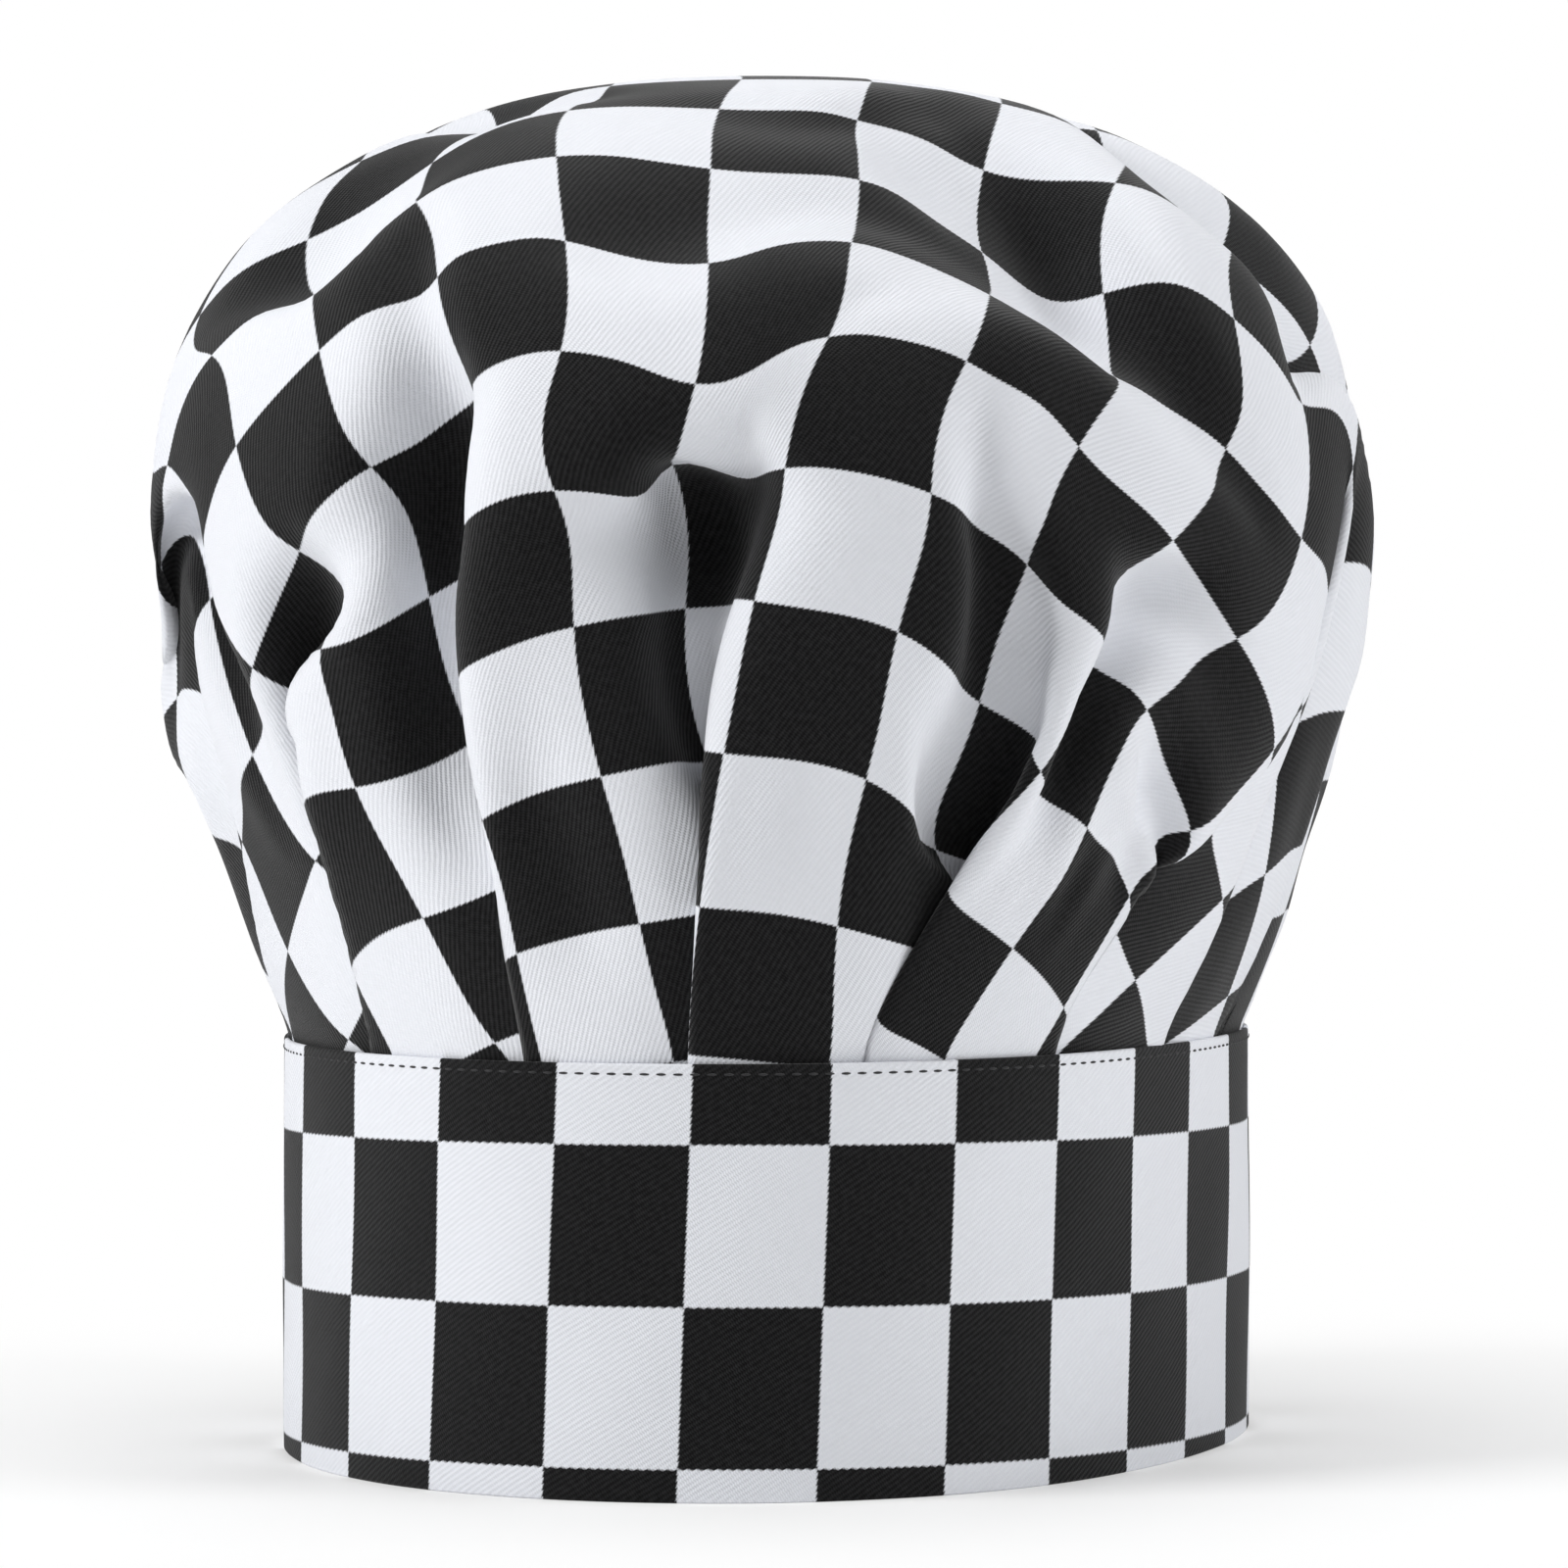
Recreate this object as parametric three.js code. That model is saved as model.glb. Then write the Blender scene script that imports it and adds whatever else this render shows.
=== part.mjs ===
// Chef toque: a gathered cloth crown sewn into a folded cloth band that closes at the back with a
// hook-and-loop tab. Millimetres, +Z up. The hat stands on the rim of its band at z = 0, its front
// faces -Y, and the origin is on the crown's vertical middle line.
import * as THREE from 'three';

// Cloth, trims and thread
const clothThickness = 0.5;
const seamClearance = 0.3;
const crownWall = 1.0;
const interfacingThickness = 0.6;
const tapeThickness = 1.2;
const threadRadius = 0.25;

// Band: one strip folded in half along the rim, with both top edges turned in
const bandHeight = 75;
const bandMeanRadius = 97;
const bandCentreX = 0.5;
const bandTurnIn = 9;
const bandEdgeRound = 0.5;
const interfacingMargin = 2;
const topstitchInset = 1.8;
const threadEndInset = 2;

// The band's oval in plan: radius = mean radius x (1 + sum of cosine and sine shares)
const bandOvalShares = [
  { turns: 2, cosine: -0.09, sine: 0.056 },
  { turns: 3, cosine: 0.007, sine: 0.017 },
];

// Back closure: the tab end laps over the under end of the band
const lapEase = 40;
const tabLength = 75;
const tabInset = 0.5;
const tabTopstitchInset = 1.8;
const tapeHeight = 25;
const loopTapeStart = 5;
const loopTapeLength = 98;
const hookTapeLength = 62;
const hookTapeEndInset = 4;
const tapeStitchInset = 2;

// Crown: one flat disc of cloth, gathered into the band
const hatHeight = 250;
const crownHalfWidth = 112;
const crownHalfDepth = 118;
const crownWidestHeight = 165;
const crownSeamDepth = 8.5;
const crownSlotRise = 0.5;
const shoulderFullness = 2.4;
const waistFullness = 1.9;
const slitHalfWidth = 7;
const slitHeight = 52;
const foldDepth = 20;
const foldRise = 28;
const foldFadeShare = 0.72;
const foldSharpness = 2.5;

// Main folds of the crown, round from the back over -X. Angles in degrees from the front, positive
// towards +X; the reach is a share of the crown's height over the band, the depth of foldDepth.
const crownFolds = [
  { atBand: -163, atTop: -160, reachShare: 0.48, depthShare: 0.85 },
  { atBand: -143, atTop: -140, reachShare: 0.42, depthShare: 0.35 },
  { atBand: -128, atTop: -132, reachShare: 0.54, depthShare: 0.85 },
  { atBand: -118, atTop: -115, reachShare: 0.55, depthShare: 0.7 },
  { atBand: -102, atTop: -99, reachShare: 0.44, depthShare: 0.45 },
  { atBand: -90, atTop: -84, reachShare: 0.8, depthShare: 0.65 },
  { atBand: -77, atTop: -70, reachShare: 0.48, depthShare: 0.4 },
  { atBand: -46, atTop: -38, reachShare: 0.58, depthShare: 0.8 },
  { atBand: -25, atTop: -28, reachShare: 0.6, depthShare: 0.2 },
  { atBand: -8, atTop: -6, reachShare: 0.62, depthShare: 0.9 },
  { atBand: 9, atTop: 20, reachShare: 0.42, depthShare: 0.15 },
  { atBand: 35, atTop: 41, reachShare: 0.46, depthShare: 0.4 },
  { atBand: 57, atTop: 64, reachShare: 0.36, depthShare: 0.12 },
  { atBand: 78, atTop: 85, reachShare: 0.5, depthShare: 0.45 },
  { atBand: 96, atTop: 99, reachShare: 0.38, depthShare: 0.45 },
  { atBand: 106, atTop: 114, reachShare: 0.56, depthShare: 0.8 },
  { atBand: 131, atTop: 132, reachShare: 0.8, depthShare: 0.28 },
  { atBand: 146, atTop: 149, reachShare: 0.42, depthShare: 0.2 },
  { atBand: 163, atTop: 160, reachShare: 0.52, depthShare: 1 },
];

// Dents of the cap, where the cloth sinks between the tops of its folds: the angle and the share of
// the widest ring's radius at the middle of each, its reach and its depth there
const capDents = [
  { angle: 30, capShare: 0.77, reach: 34, depth: 12 },
  { angle: 67, capShare: 0.79, reach: 16, depth: 7 },
  { angle: -64, capShare: 0.32, reach: 36, depth: 12 },
  { angle: -53, capShare: 0.8, reach: 20, depth: 6 },
];
const dentAimHeight = 130;

// Columns of the crown in each panel between two folds, as shares of the panel
const panelShares = [0, 0.34, 0.66];

// Rings of the crown: heights as shares of the stretch from band to widest ring, then radii as
// shares of the widest ring
const waistRingShares = [0.12, 0.36, 0.68, 1];
const capRingShares = [0.965, 0.86, 0.66, 0.36];

// Counts
const tabSteps = 12;
const threadSides = 5;
const pathSamples = 1440;
const cornerSteps = 4;

const black = 0x161616;
const white = 0xf0f2f8;

const clothMaterial = () => new THREE.MeshStandardMaterial({ color: white, roughness: 0.85, metalness: 0 });
const trimMaterial = () => new THREE.MeshStandardMaterial({ color: black, roughness: 0.9, metalness: 0 });

const clamp01 = (t) => Math.min(1, Math.max(0, t));
const smooth = (t) => clamp01(t) ** 2 * (3 - 2 * clamp01(t));
const { lerp } = THREE.MathUtils;

// Derived sizes of the band, measured outwards from its outer face (negative is towards the head)
const turnedEdge = 2 * clothThickness;
const crownSlot = crownWall + 2 * seamClearance;
const bandThickness = 2 * turnedEdge + crownSlot;
const crownSeamOut = -bandThickness / 2;
const tapeStack = 3 * seamClearance + 2 * tapeThickness;
const tabThickness = 2 * clothThickness + interfacingThickness + 2 * seamClearance;
const lapHalf = (tapeStack + tabThickness) / 2;
const threadStand = seamClearance + threadRadius;

// The band's oval as an even walk by length, from the middle of the back towards -X
function ovalRadius(angle) {
  const wave = ({ turns, cosine, sine }) => cosine * Math.cos(turns * angle) + sine * Math.sin(turns * angle);
  return bandMeanRadius * (1 + bandOvalShares.reduce((sum, share) => sum + wave(share), 0));
}

function ovalPoint(angle) {
  const r = ovalRadius(angle);
  return new THREE.Vector2(bandCentreX + r * Math.cos(angle), r * Math.sin(angle));
}

const walk = Array.from({ length: pathSamples + 1 }, (_, i) => {
  const angle = Math.PI / 2 + (2 * Math.PI * i) / pathSamples;
  return { angle, point: ovalPoint(angle), length: 0 };
});
for (let i = 1; i <= pathSamples; i++) {
  walk[i].length = walk[i - 1].length + walk[i].point.distanceTo(walk[i - 1].point);
}
const bandLength = walk[pathSamples].length;

function onPath(along) {
  const target = THREE.MathUtils.euclideanModulo(along, bandLength);
  let low = 0;
  let high = pathSamples;
  while (high - low > 1) {
    const middle = (low + high) >> 1;
    if (walk[middle].length <= target) low = middle;
    else high = middle;
  }
  const share = (target - walk[low].length) / (walk[high].length - walk[low].length);
  const angle = lerp(walk[low].angle, walk[high].angle, share);
  const turn = Math.PI / pathSamples;
  const tangent = ovalPoint(angle + turn).sub(ovalPoint(angle - turn)).normalize();
  return { angle, point: ovalPoint(angle), normal: new THREE.Vector2(tangent.y, -tangent.x) };
}

// The length along the band at an angle from the front
function alongAt(fromFront) {
  const step = clamp01((fromFront + 180) / 360) * pathSamples;
  const low = Math.min(Math.floor(step), pathSamples - 1);
  return lerp(walk[low].length, walk[low + 1].length, step - low);
}

// The under end ducks in and the tab end eases out by half the lap each
function lapAt(along) {
  const under = -lapHalf * (1 - smooth(along / lapEase));
  const over = lapHalf * smooth((along - bandLength + lapEase) / lapEase);
  return under + over;
}

function place(along, out, z) {
  const { point, normal } = onPath(along);
  const shift = out + lapAt(along);
  return new THREE.Vector3(point.x + normal.x * shift, point.y + normal.y * shift, z);
}

// A closed body from points and triangles, turned so that its faces point out
function closedBody(points, triangles) {
  const cross = new THREE.Vector3();
  let volume = 0;
  for (const [a, b, c] of triangles) {
    volume += cross.crossVectors(points[b], points[c]).dot(points[a]);
  }
  const outward = volume < 0 ? triangles.map(([a, b, c]) => [a, c, b]) : triangles;
  const geometry = new THREE.BufferGeometry();
  geometry.setAttribute('position', new THREE.Float32BufferAttribute(points.flatMap((p) => p.toArray()), 3));
  geometry.setIndex(outward.flat());
  geometry.computeVertexNormals();
  return geometry;
}

// Side faces between a row of points and the next one round a closed section
function sideFaces(count, from, to) {
  const faces = [];
  for (let i = 0; i < count; i++) {
    const next = (i + 1) % count;
    faces.push([from + i, from + next, to + next], [from + i, to + next, to + i]);
  }
  return faces;
}

function capFaces(section, from, reversed) {
  const area = THREE.ShapeUtils.area(section);
  return THREE.ShapeUtils.triangulateShape(section, []).map((face) => {
    const turned = THREE.ShapeUtils.area(face.map((i) => section[i])) * area < 0;
    const [a, b, c] = turned === reversed ? face : [...face].reverse();
    return [from + a, from + b, from + c];
  });
}

// A section of (out, height) points carried along the band through a list of stations
function sweptBody(stations, section) {
  const points = stations.flatMap((along) => section.map((p) => place(along, p.x, p.y)));
  const faces = [...capFaces(section, 0, true)];
  for (let j = 1; j < stations.length; j++) {
    faces.push(...sideFaces(section.length, (j - 1) * section.length, j * section.length));
  }
  faces.push(...capFaces(section, (stations.length - 1) * section.length, false));
  return closedBody(points, faces);
}

const spread = (from, to, steps) => Array.from({ length: steps + 1 }, (_, i) => from + ((to - from) * i) / steps);
const corner = (x, y) => new THREE.Vector2(x, y);
const rectangle = (out0, out1, z0, z1) => [corner(out0, z0), corner(out1, z0), corner(out1, z1), corner(out0, z1)];

function threadSection(out, z) {
  return Array.from({ length: threadSides }, (_, i) => {
    const turn = (2 * Math.PI * i) / threadSides;
    return corner(out + threadRadius * Math.cos(turn), z + threadRadius * Math.sin(turn));
  });
}

// Folds and slit edges of the crown: each gives its angle from the front and its depth at a height
const crownRise = hatHeight - bandHeight;
const backAngle = 180;

function foldEdge({ atBand, atTop, reachShare, depthShare }) {
  const climb = (z) => (z - bandHeight) / (reachShare * crownRise);
  const rise = (z) => smooth((z - bandHeight) / foldRise);
  const fade = (z) => 1 - smooth((climb(z) - foldFadeShare) / (1 - foldFadeShare));
  return {
    angle: (z) => lerp(atBand, atTop, smooth(climb(z))),
    depth: (z) => foldDepth * depthShare * rise(z) * fade(z),
  };
}

function slitEdge(side) {
  const halfAngle = THREE.MathUtils.radToDeg(slitHalfWidth / bandMeanRadius);
  const open = (z) => 1 - clamp01((z - bandHeight) / slitHeight);
  return { angle: (z) => side * (backAngle - halfAngle * open(z)), depth: () => 0 };
}

const crownEdges = [slitEdge(-1), ...crownFolds.map(foldEdge), slitEdge(1)];
const crownColumns = crownEdges.slice(1).flatMap((right, i) => {
  const left = crownEdges[i];
  return panelShares.map((share) => {
    const ofLeft = (1 - share) ** foldSharpness;
    const ofRight = share ** foldSharpness;
    return {
      angle: (z) => lerp(left.angle(z), right.angle(z), share),
      draw: (z) => left.depth(z) * ofLeft + right.depth(z) * ofRight,
    };
  });
});
crownColumns.push({ angle: crownEdges.at(-1).angle, draw: () => 0 });

// Stations along the band: its two ends, and one at every column of the crown
const bandStations = [0, ...crownColumns.map((column) => alongAt(column.angle(bandHeight))), bandLength];

function bandCloth() {
  const outerFace = 0;
  const innerFace = -bandThickness;
  const turnEnd = bandHeight - bandTurnIn;
  const section = [
    corner(outerFace - bandEdgeRound, 0),
    corner(outerFace, bandEdgeRound),
    corner(outerFace, bandHeight - bandEdgeRound),
    corner(outerFace - bandEdgeRound, bandHeight),
    corner(outerFace - turnedEdge, bandHeight),
    corner(outerFace - turnedEdge, turnEnd),
    corner(outerFace - clothThickness, turnEnd),
    corner(outerFace - clothThickness, clothThickness),
    corner(innerFace + clothThickness, clothThickness),
    corner(innerFace + clothThickness, turnEnd),
    corner(innerFace + turnedEdge, turnEnd),
    corner(innerFace + turnedEdge, bandHeight),
    corner(innerFace + bandEdgeRound, bandHeight),
    corner(innerFace, bandHeight - bandEdgeRound),
    corner(innerFace, bandEdgeRound),
    corner(innerFace + bandEdgeRound, 0),
  ];
  return sweptBody(bandStations, section);
}

function bandInterfacing() {
  const outer = -clothThickness - seamClearance;
  const low = clothThickness + seamClearance;
  const high = bandHeight - bandTurnIn - seamClearance;
  const inside = bandStations.map((along) => THREE.MathUtils.clamp(along, interfacingMargin, bandLength - interfacingMargin));
  return sweptBody(inside, rectangle(outer - interfacingThickness, outer, low, high));
}

function bandThread(out) {
  const ends = bandStations.map((along) => THREE.MathUtils.clamp(along, threadEndInset, bandLength - threadEndInset));
  return sweptBody(ends, threadSection(out, bandHeight - topstitchInset));
}

// The dents sink straight towards one point on the crown's middle line
function capHeight(capShare) {
  const lift = (1 - capShare ** shoulderFullness) ** (1 / shoulderFullness);
  return lerp(crownWidestHeight, hatHeight, lift);
}

const dents = capDents.map(({ angle, capShare, reach, depth }) => {
  const polar = THREE.MathUtils.degToRad(angle) - Math.PI / 2;
  const x = crownHalfWidth * Math.cos(polar) * capShare;
  const y = crownHalfDepth * Math.sin(polar) * capShare;
  return { middle: new THREE.Vector3(x, y, capHeight(capShare)), reach, depth };
});

function dented(point) {
  const inwards = new THREE.Vector3(0, 0, dentAimHeight).sub(point).normalize();
  const sink = ({ middle, reach, depth }) => depth * (1 - smooth(point.distanceTo(middle) / reach));
  return point.addScaledVector(inwards, dents.reduce((sum, dent) => sum + sink(dent), 0));
}

// Crown: the seam's path swells to an oval at the widest ring and closes over the top
function crownPoint(column, z, capShare) {
  const fromFront = column.angle(z);
  const polar = THREE.MathUtils.degToRad(fromFront) - Math.PI / 2;
  const seam = place(alongAt(fromFront), crownSeamOut, z);
  const down = clamp01((crownWidestHeight - z) / (crownWidestHeight - bandHeight));
  const full = corner(crownHalfWidth * Math.cos(polar), crownHalfDepth * Math.sin(polar)).multiplyScalar(capShare);
  const plan = corner(seam.x, seam.y).lerp(full, 1 - down ** waistFullness);
  plan.addScaledVector(plan.clone().normalize(), -column.draw(z) * capShare);
  return dented(new THREE.Vector3(plan.x, plan.y, z));
}

function crownRings() {
  const seamRing = { z: bandHeight - crownSeamDepth, capShare: 1 };
  const slotRing = { z: bandHeight + crownSlotRise, capShare: 1 };
  const waist = waistRingShares.map((share) => ({
    z: lerp(bandHeight, crownWidestHeight, share),
    capShare: 1,
  }));
  const cap = capRingShares.map((capShare) => ({ z: capHeight(capShare), capShare }));
  return [seamRing, slotRing, ...waist, ...cap];
}

// A sheet given by its middle surface becomes a closed body of even thickness
function thickened(points, faces, thickness) {
  const geometry = new THREE.BufferGeometry().setFromPoints(points);
  geometry.setIndex(faces.flat());
  geometry.computeVertexNormals();
  const normals = points.map((_, i) => new THREE.Vector3().fromBufferAttribute(geometry.attributes.normal, i));
  const shifted = (side) => points.map((p, i) => p.clone().addScaledVector(normals[i], (side * thickness) / 2));
  const uses = new Map();
  for (const face of faces) {
    face.forEach((a, i) => uses.set(`${a} ${face[(i + 1) % face.length]}`, [a, face[(i + 1) % face.length]]));
  }
  const rim = [...uses.values()].filter(([a, b]) => !uses.has(`${b} ${a}`));
  const n = points.length;
  const walls = rim.flatMap(([a, b]) => [[b, a, a + n], [b, a + n, b + n]]);
  const inner = faces.map(([a, b, c]) => [a + n, c + n, b + n]);
  return closedBody([...shifted(1), ...shifted(-1)], [...faces, ...inner, ...walls]);
}

function crownCloth() {
  const points = [];
  const columns = crownColumns.length - 1;
  const rows = crownRings().map(({ z, capShare }) => {
    const closed = z >= bandHeight + slitHeight;
    return crownColumns.map((column, i) => {
      if (closed && i === columns) return points.length - columns;
      points.push(crownPoint(column, z, capShare));
      return points.length - 1;
    });
  });
  const faces = [];
  for (let r = 1; r < rows.length; r++) {
    for (let i = 0; i < columns; i++) {
      const [a, b, c, d] = [rows[r - 1][i], rows[r - 1][i + 1], rows[r][i + 1], rows[r][i]];
      const shorter = points[a].distanceTo(points[c]) < points[b].distanceTo(points[d]);
      faces.push(...(shorter ? [[a, b, c], [a, c, d]] : [[a, b, d], [b, c, d]]));
    }
  }
  points.push(new THREE.Vector3(0, 0, hatHeight - crownWall / 2));
  const last = rows[rows.length - 1];
  for (let i = 0; i < columns; i++) faces.push([last[i], last[i + 1], points.length - 1]);
  return thickened(points, faces, crownWall);
}

// Tab: a flat sleeve of the band's cloth, closed at its free end and open at its root
function tabCloth() {
  const out0 = tapeStack;
  const out1 = tapeStack + tabThickness;
  const outer = rectangle(out0, out1, tabInset, bandHeight - tabInset);
  const inner = rectangle(
    out0 + clothThickness,
    out1 - clothThickness,
    tabInset + clothThickness,
    bandHeight - tabInset - clothThickness,
  );
  const outerStations = spread(seamClearance, tabLength, tabSteps);
  const innerStations = spread(seamClearance, tabLength - clothThickness, tabSteps);
  const size = outer.length;
  const points = [
    ...outerStations.flatMap((along) => outer.map((p) => place(along, p.x, p.y))),
    ...innerStations.flatMap((along) => inner.map((p) => place(along, p.x, p.y))),
  ];
  const innerStart = outerStations.length * size;
  const faces = sideFaces(size, innerStart, 0);
  for (let j = 1; j <= tabSteps; j++) {
    faces.push(...sideFaces(size, (j - 1) * size, j * size));
    faces.push(...sideFaces(size, innerStart + j * size, innerStart + (j - 1) * size));
  }
  faces.push(...capFaces(outer, tabSteps * size, false));
  faces.push(...capFaces(inner, innerStart + tabSteps * size, true));
  return closedBody(points, faces);
}

function tabInterfacing() {
  const out0 = tapeStack + clothThickness + seamClearance;
  const margin = tabInset + clothThickness + seamClearance;
  const stations = spread(2 * seamClearance, tabLength - clothThickness - seamClearance, tabSteps);
  return sweptBody(stations, rectangle(out0, out0 + interfacingThickness, margin, bandHeight - margin));
}

// Tapes: the loop side on the band's outer face, the hook side on the tab's inner face
const tapeLow = (bandHeight - tapeHeight) / 2;
const tapeHigh = (bandHeight + tapeHeight) / 2;
const loopTapeEnd = loopTapeStart + loopTapeLength;
const hookTapeEnd = tabLength - hookTapeEndInset;
const hookTapeStart = hookTapeEnd - hookTapeLength;

function loopTape() {
  const section = rectangle(seamClearance, seamClearance + tapeThickness, tapeLow, tapeHigh);
  return sweptBody(spread(loopTapeStart, loopTapeEnd, tabSteps), section);
}

function hookTape() {
  const outer = tapeStack - seamClearance;
  return sweptBody(
    spread(hookTapeStart, hookTapeEnd, tabSteps),
    rectangle(outer - tapeThickness, outer, tapeLow, tapeHigh),
  );
}

// A closed run of thread round a rectangle that lies on the band: from and to are lengths along it
function threadLoop(from, to, low, high, out) {
  const across = spread(from, to, tabSteps);
  const up = spread(low, high, cornerSteps);
  const route = [
    ...across.slice(0, -1).map((along) => [along, low]),
    ...up.slice(0, -1).map((z) => [to, z]),
    ...across.slice(1).reverse().map((along) => [along, high]),
    ...up.slice(1).reverse().map((z) => [from, z]),
  ];
  const centres = route.map(([along, z]) => place(along, out, z));
  const points = [];
  const faces = [];
  centres.forEach((centre, j) => {
    const [along] = route[j];
    const before = centres[(j + centres.length - 1) % centres.length];
    const after = centres[(j + 1) % centres.length];
    const travel = after.clone().sub(before).normalize();
    const outward = place(along, out + threadRadius, centre.z).sub(centre).normalize();
    const sideways = new THREE.Vector3().crossVectors(travel, outward).normalize();
    for (let i = 0; i < threadSides; i++) {
      const turn = (2 * Math.PI * i) / threadSides;
      const step = outward.clone().multiplyScalar(threadRadius * Math.cos(turn));
      points.push(centre.clone().add(step).addScaledVector(sideways, threadRadius * Math.sin(turn)));
    }
    faces.push(...sideFaces(threadSides, j * threadSides, ((j + 1) % centres.length) * threadSides));
  });
  return closedBody(points, faces);
}

const tapeStitchLow = tapeLow + tapeStitchInset;
const tapeStitchHigh = tapeHigh - tapeStitchInset;

// The loop tape's thread shows on the inside of the band, the hook tape's on the outside of the tab
function loopTapeThread() {
  return threadLoop(
    loopTapeStart + tapeStitchInset,
    loopTapeEnd - tapeStitchInset,
    tapeStitchLow,
    tapeStitchHigh,
    -bandThickness - threadStand,
  );
}

function hookTapeThread() {
  return threadLoop(
    hookTapeStart + tapeStitchInset,
    hookTapeEnd - tapeStitchInset,
    tapeStitchLow,
    tapeStitchHigh,
    tapeStack + tabThickness + threadStand,
  );
}

function tabThread() {
  return threadLoop(
    seamClearance + tabTopstitchInset,
    tabLength - tabTopstitchInset,
    tabInset + tabTopstitchInset,
    bandHeight - tabInset - tabTopstitchInset,
    tapeStack + tabThickness + threadStand,
  );
}

function piece(name, geometry, material) {
  const mesh = new THREE.Mesh(geometry, material);
  mesh.name = name;
  return mesh;
}

const hat = new THREE.Group();
hat.add(
  piece('crown', crownCloth(), clothMaterial()),
  piece('band_cloth', bandCloth(), clothMaterial()),
  piece('band_interfacing', bandInterfacing(), clothMaterial()),
  piece('band_topstitch_thread', bandThread(threadStand), trimMaterial()),
  piece('band_bobbin_thread', bandThread(-bandThickness - threadStand), trimMaterial()),
  piece('loop_tape', loopTape(), trimMaterial()),
  piece('loop_tape_thread', loopTapeThread(), trimMaterial()),
);

const tab = new THREE.Group();
tab.add(
  piece('tab_cloth', tabCloth(), clothMaterial()),
  piece('tab_interfacing', tabInterfacing(), clothMaterial()),
  piece('tab_thread', tabThread(), trimMaterial()),
  piece('hook_tape', hookTape(), trimMaterial()),
  piece('hook_tape_thread', hookTapeThread(), trimMaterial()),
);
hat.add(tab);

export default hat;
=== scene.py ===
"""A chef's toque in black and white checked twill: a gathered disc crown on a folded band.

Every length is in millimetres until a mesh is made, which turns it into metres. The hat stands on
the rim of its band at z = 0 with its front towards -Y. Angles round the hat are degrees from the
front, positive towards +X.
"""
import math
import bpy
import numpy as np
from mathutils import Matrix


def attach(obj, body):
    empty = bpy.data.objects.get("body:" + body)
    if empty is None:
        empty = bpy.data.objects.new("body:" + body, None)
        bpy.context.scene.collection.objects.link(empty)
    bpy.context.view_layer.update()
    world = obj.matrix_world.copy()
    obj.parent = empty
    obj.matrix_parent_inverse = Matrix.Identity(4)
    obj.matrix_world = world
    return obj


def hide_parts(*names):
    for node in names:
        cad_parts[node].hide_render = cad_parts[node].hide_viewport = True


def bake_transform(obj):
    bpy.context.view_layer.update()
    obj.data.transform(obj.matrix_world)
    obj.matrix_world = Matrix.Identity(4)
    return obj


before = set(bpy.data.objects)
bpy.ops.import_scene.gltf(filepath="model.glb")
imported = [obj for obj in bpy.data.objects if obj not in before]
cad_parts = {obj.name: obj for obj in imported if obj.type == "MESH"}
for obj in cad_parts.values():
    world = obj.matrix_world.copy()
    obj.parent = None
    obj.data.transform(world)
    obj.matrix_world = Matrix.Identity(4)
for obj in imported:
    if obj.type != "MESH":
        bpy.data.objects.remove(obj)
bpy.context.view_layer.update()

MM = 0.001

# Cloth, trims and thread
CLOTH = 0.5
CLEARANCE = 0.3
INTERFACING = 0.6
TAPE = 1.2
THREAD_RADIUS = 0.25
STITCH_PITCH = 2.9
STITCH_SHARE = 0.93
STITCH_RINGS = 7
CHECK = 25.4

# Band: one strip folded in half along the rim, with both top edges turned in
BAND_HEIGHT = 75.0
BAND_MEAN_RADIUS = 97.0
BAND_CENTRE_X = 0.5
BAND_TURN_IN = 9.0
BAND_THICKNESS = 3.6
BAND_OVAL_SHARES = ((2, -0.09, 0.056), (3, 0.007, 0.017))
TOPSTITCH_INSET = 1.8

# Back closure
LAP_EASE = 40.0
TAB_LENGTH = 75.0
TAB_INSET = 0.5
TAB_EDGE_RADIUS = 0.9
TAPE_HEIGHT = 25.0
LOOP_TAPE_START = 5.0
LOOP_TAPE_LENGTH = 98.0
HOOK_TAPE_LENGTH = 62.0
HOOK_TAPE_END_INSET = 4.0
TAPE_STITCH_INSET = 2.0
TAPE_STACK = 3 * CLEARANCE + 2 * TAPE
TAB_THICKNESS = 2 * CLOTH + INTERFACING + 2 * CLEARANCE
LAP_HALF = (TAPE_STACK + TAB_THICKNESS) / 2
TAB_ROOT = 14.0
TAB_THIN_BEFORE = 9.0
TAB_THIN_OVER = 10.0
TAB_STEPS = 56
END_FREE = 2.0

# Crown
HAT_HEIGHT = 250.0
CROWN_HALF_WIDTH = 112.0
CROWN_HALF_DEPTH = 118.0
WIDEST_HEIGHT = 165.0
SHOULDER_FULLNESS = 2.4
WAIST_FULLNESS = 1.9
CROWN_SEAM_OUT = -1.8
SLIT_HALF_WIDTH = 7.0
SLIT_HEIGHT = 52.0
HAT_MIDDLE = np.array([BAND_CENTRE_X, 0.0, 130.0])

# The photograph's camera
EYE = np.array([4.08, -1316.0, 147.0])
PITCH = math.radians(1.153)
FOCAL_PX = 7251.0
IMAGE_PX = 1600.0


def smooth(t):
    """The cubic step 3t^2 - 2t^3, held at 0 and 1 outside its run."""
    t = np.clip(t, 0.0, 1.0)
    return t * t * (3.0 - 2.0 * t)


def fade_in(value, start, end):
    return smooth((value - start) / (end - start))


def lerp(a, b, t):
    return a + (b - a) * t


def running_length(line):
    return np.concatenate([[0.0], np.cumsum(np.linalg.norm(np.diff(line, axis=0), axis=1))])


# Curves of the band and the crown

def band_radius(polar):
    """Mean radius times one plus the sum of a cosine and a sine of two and three turns."""
    total = 1.0
    for turns, cosine, sine in BAND_OVAL_SHARES:
        total = total + cosine * np.cos(turns * polar) + sine * np.sin(turns * polar)
    return BAND_MEAN_RADIUS * total


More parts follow.
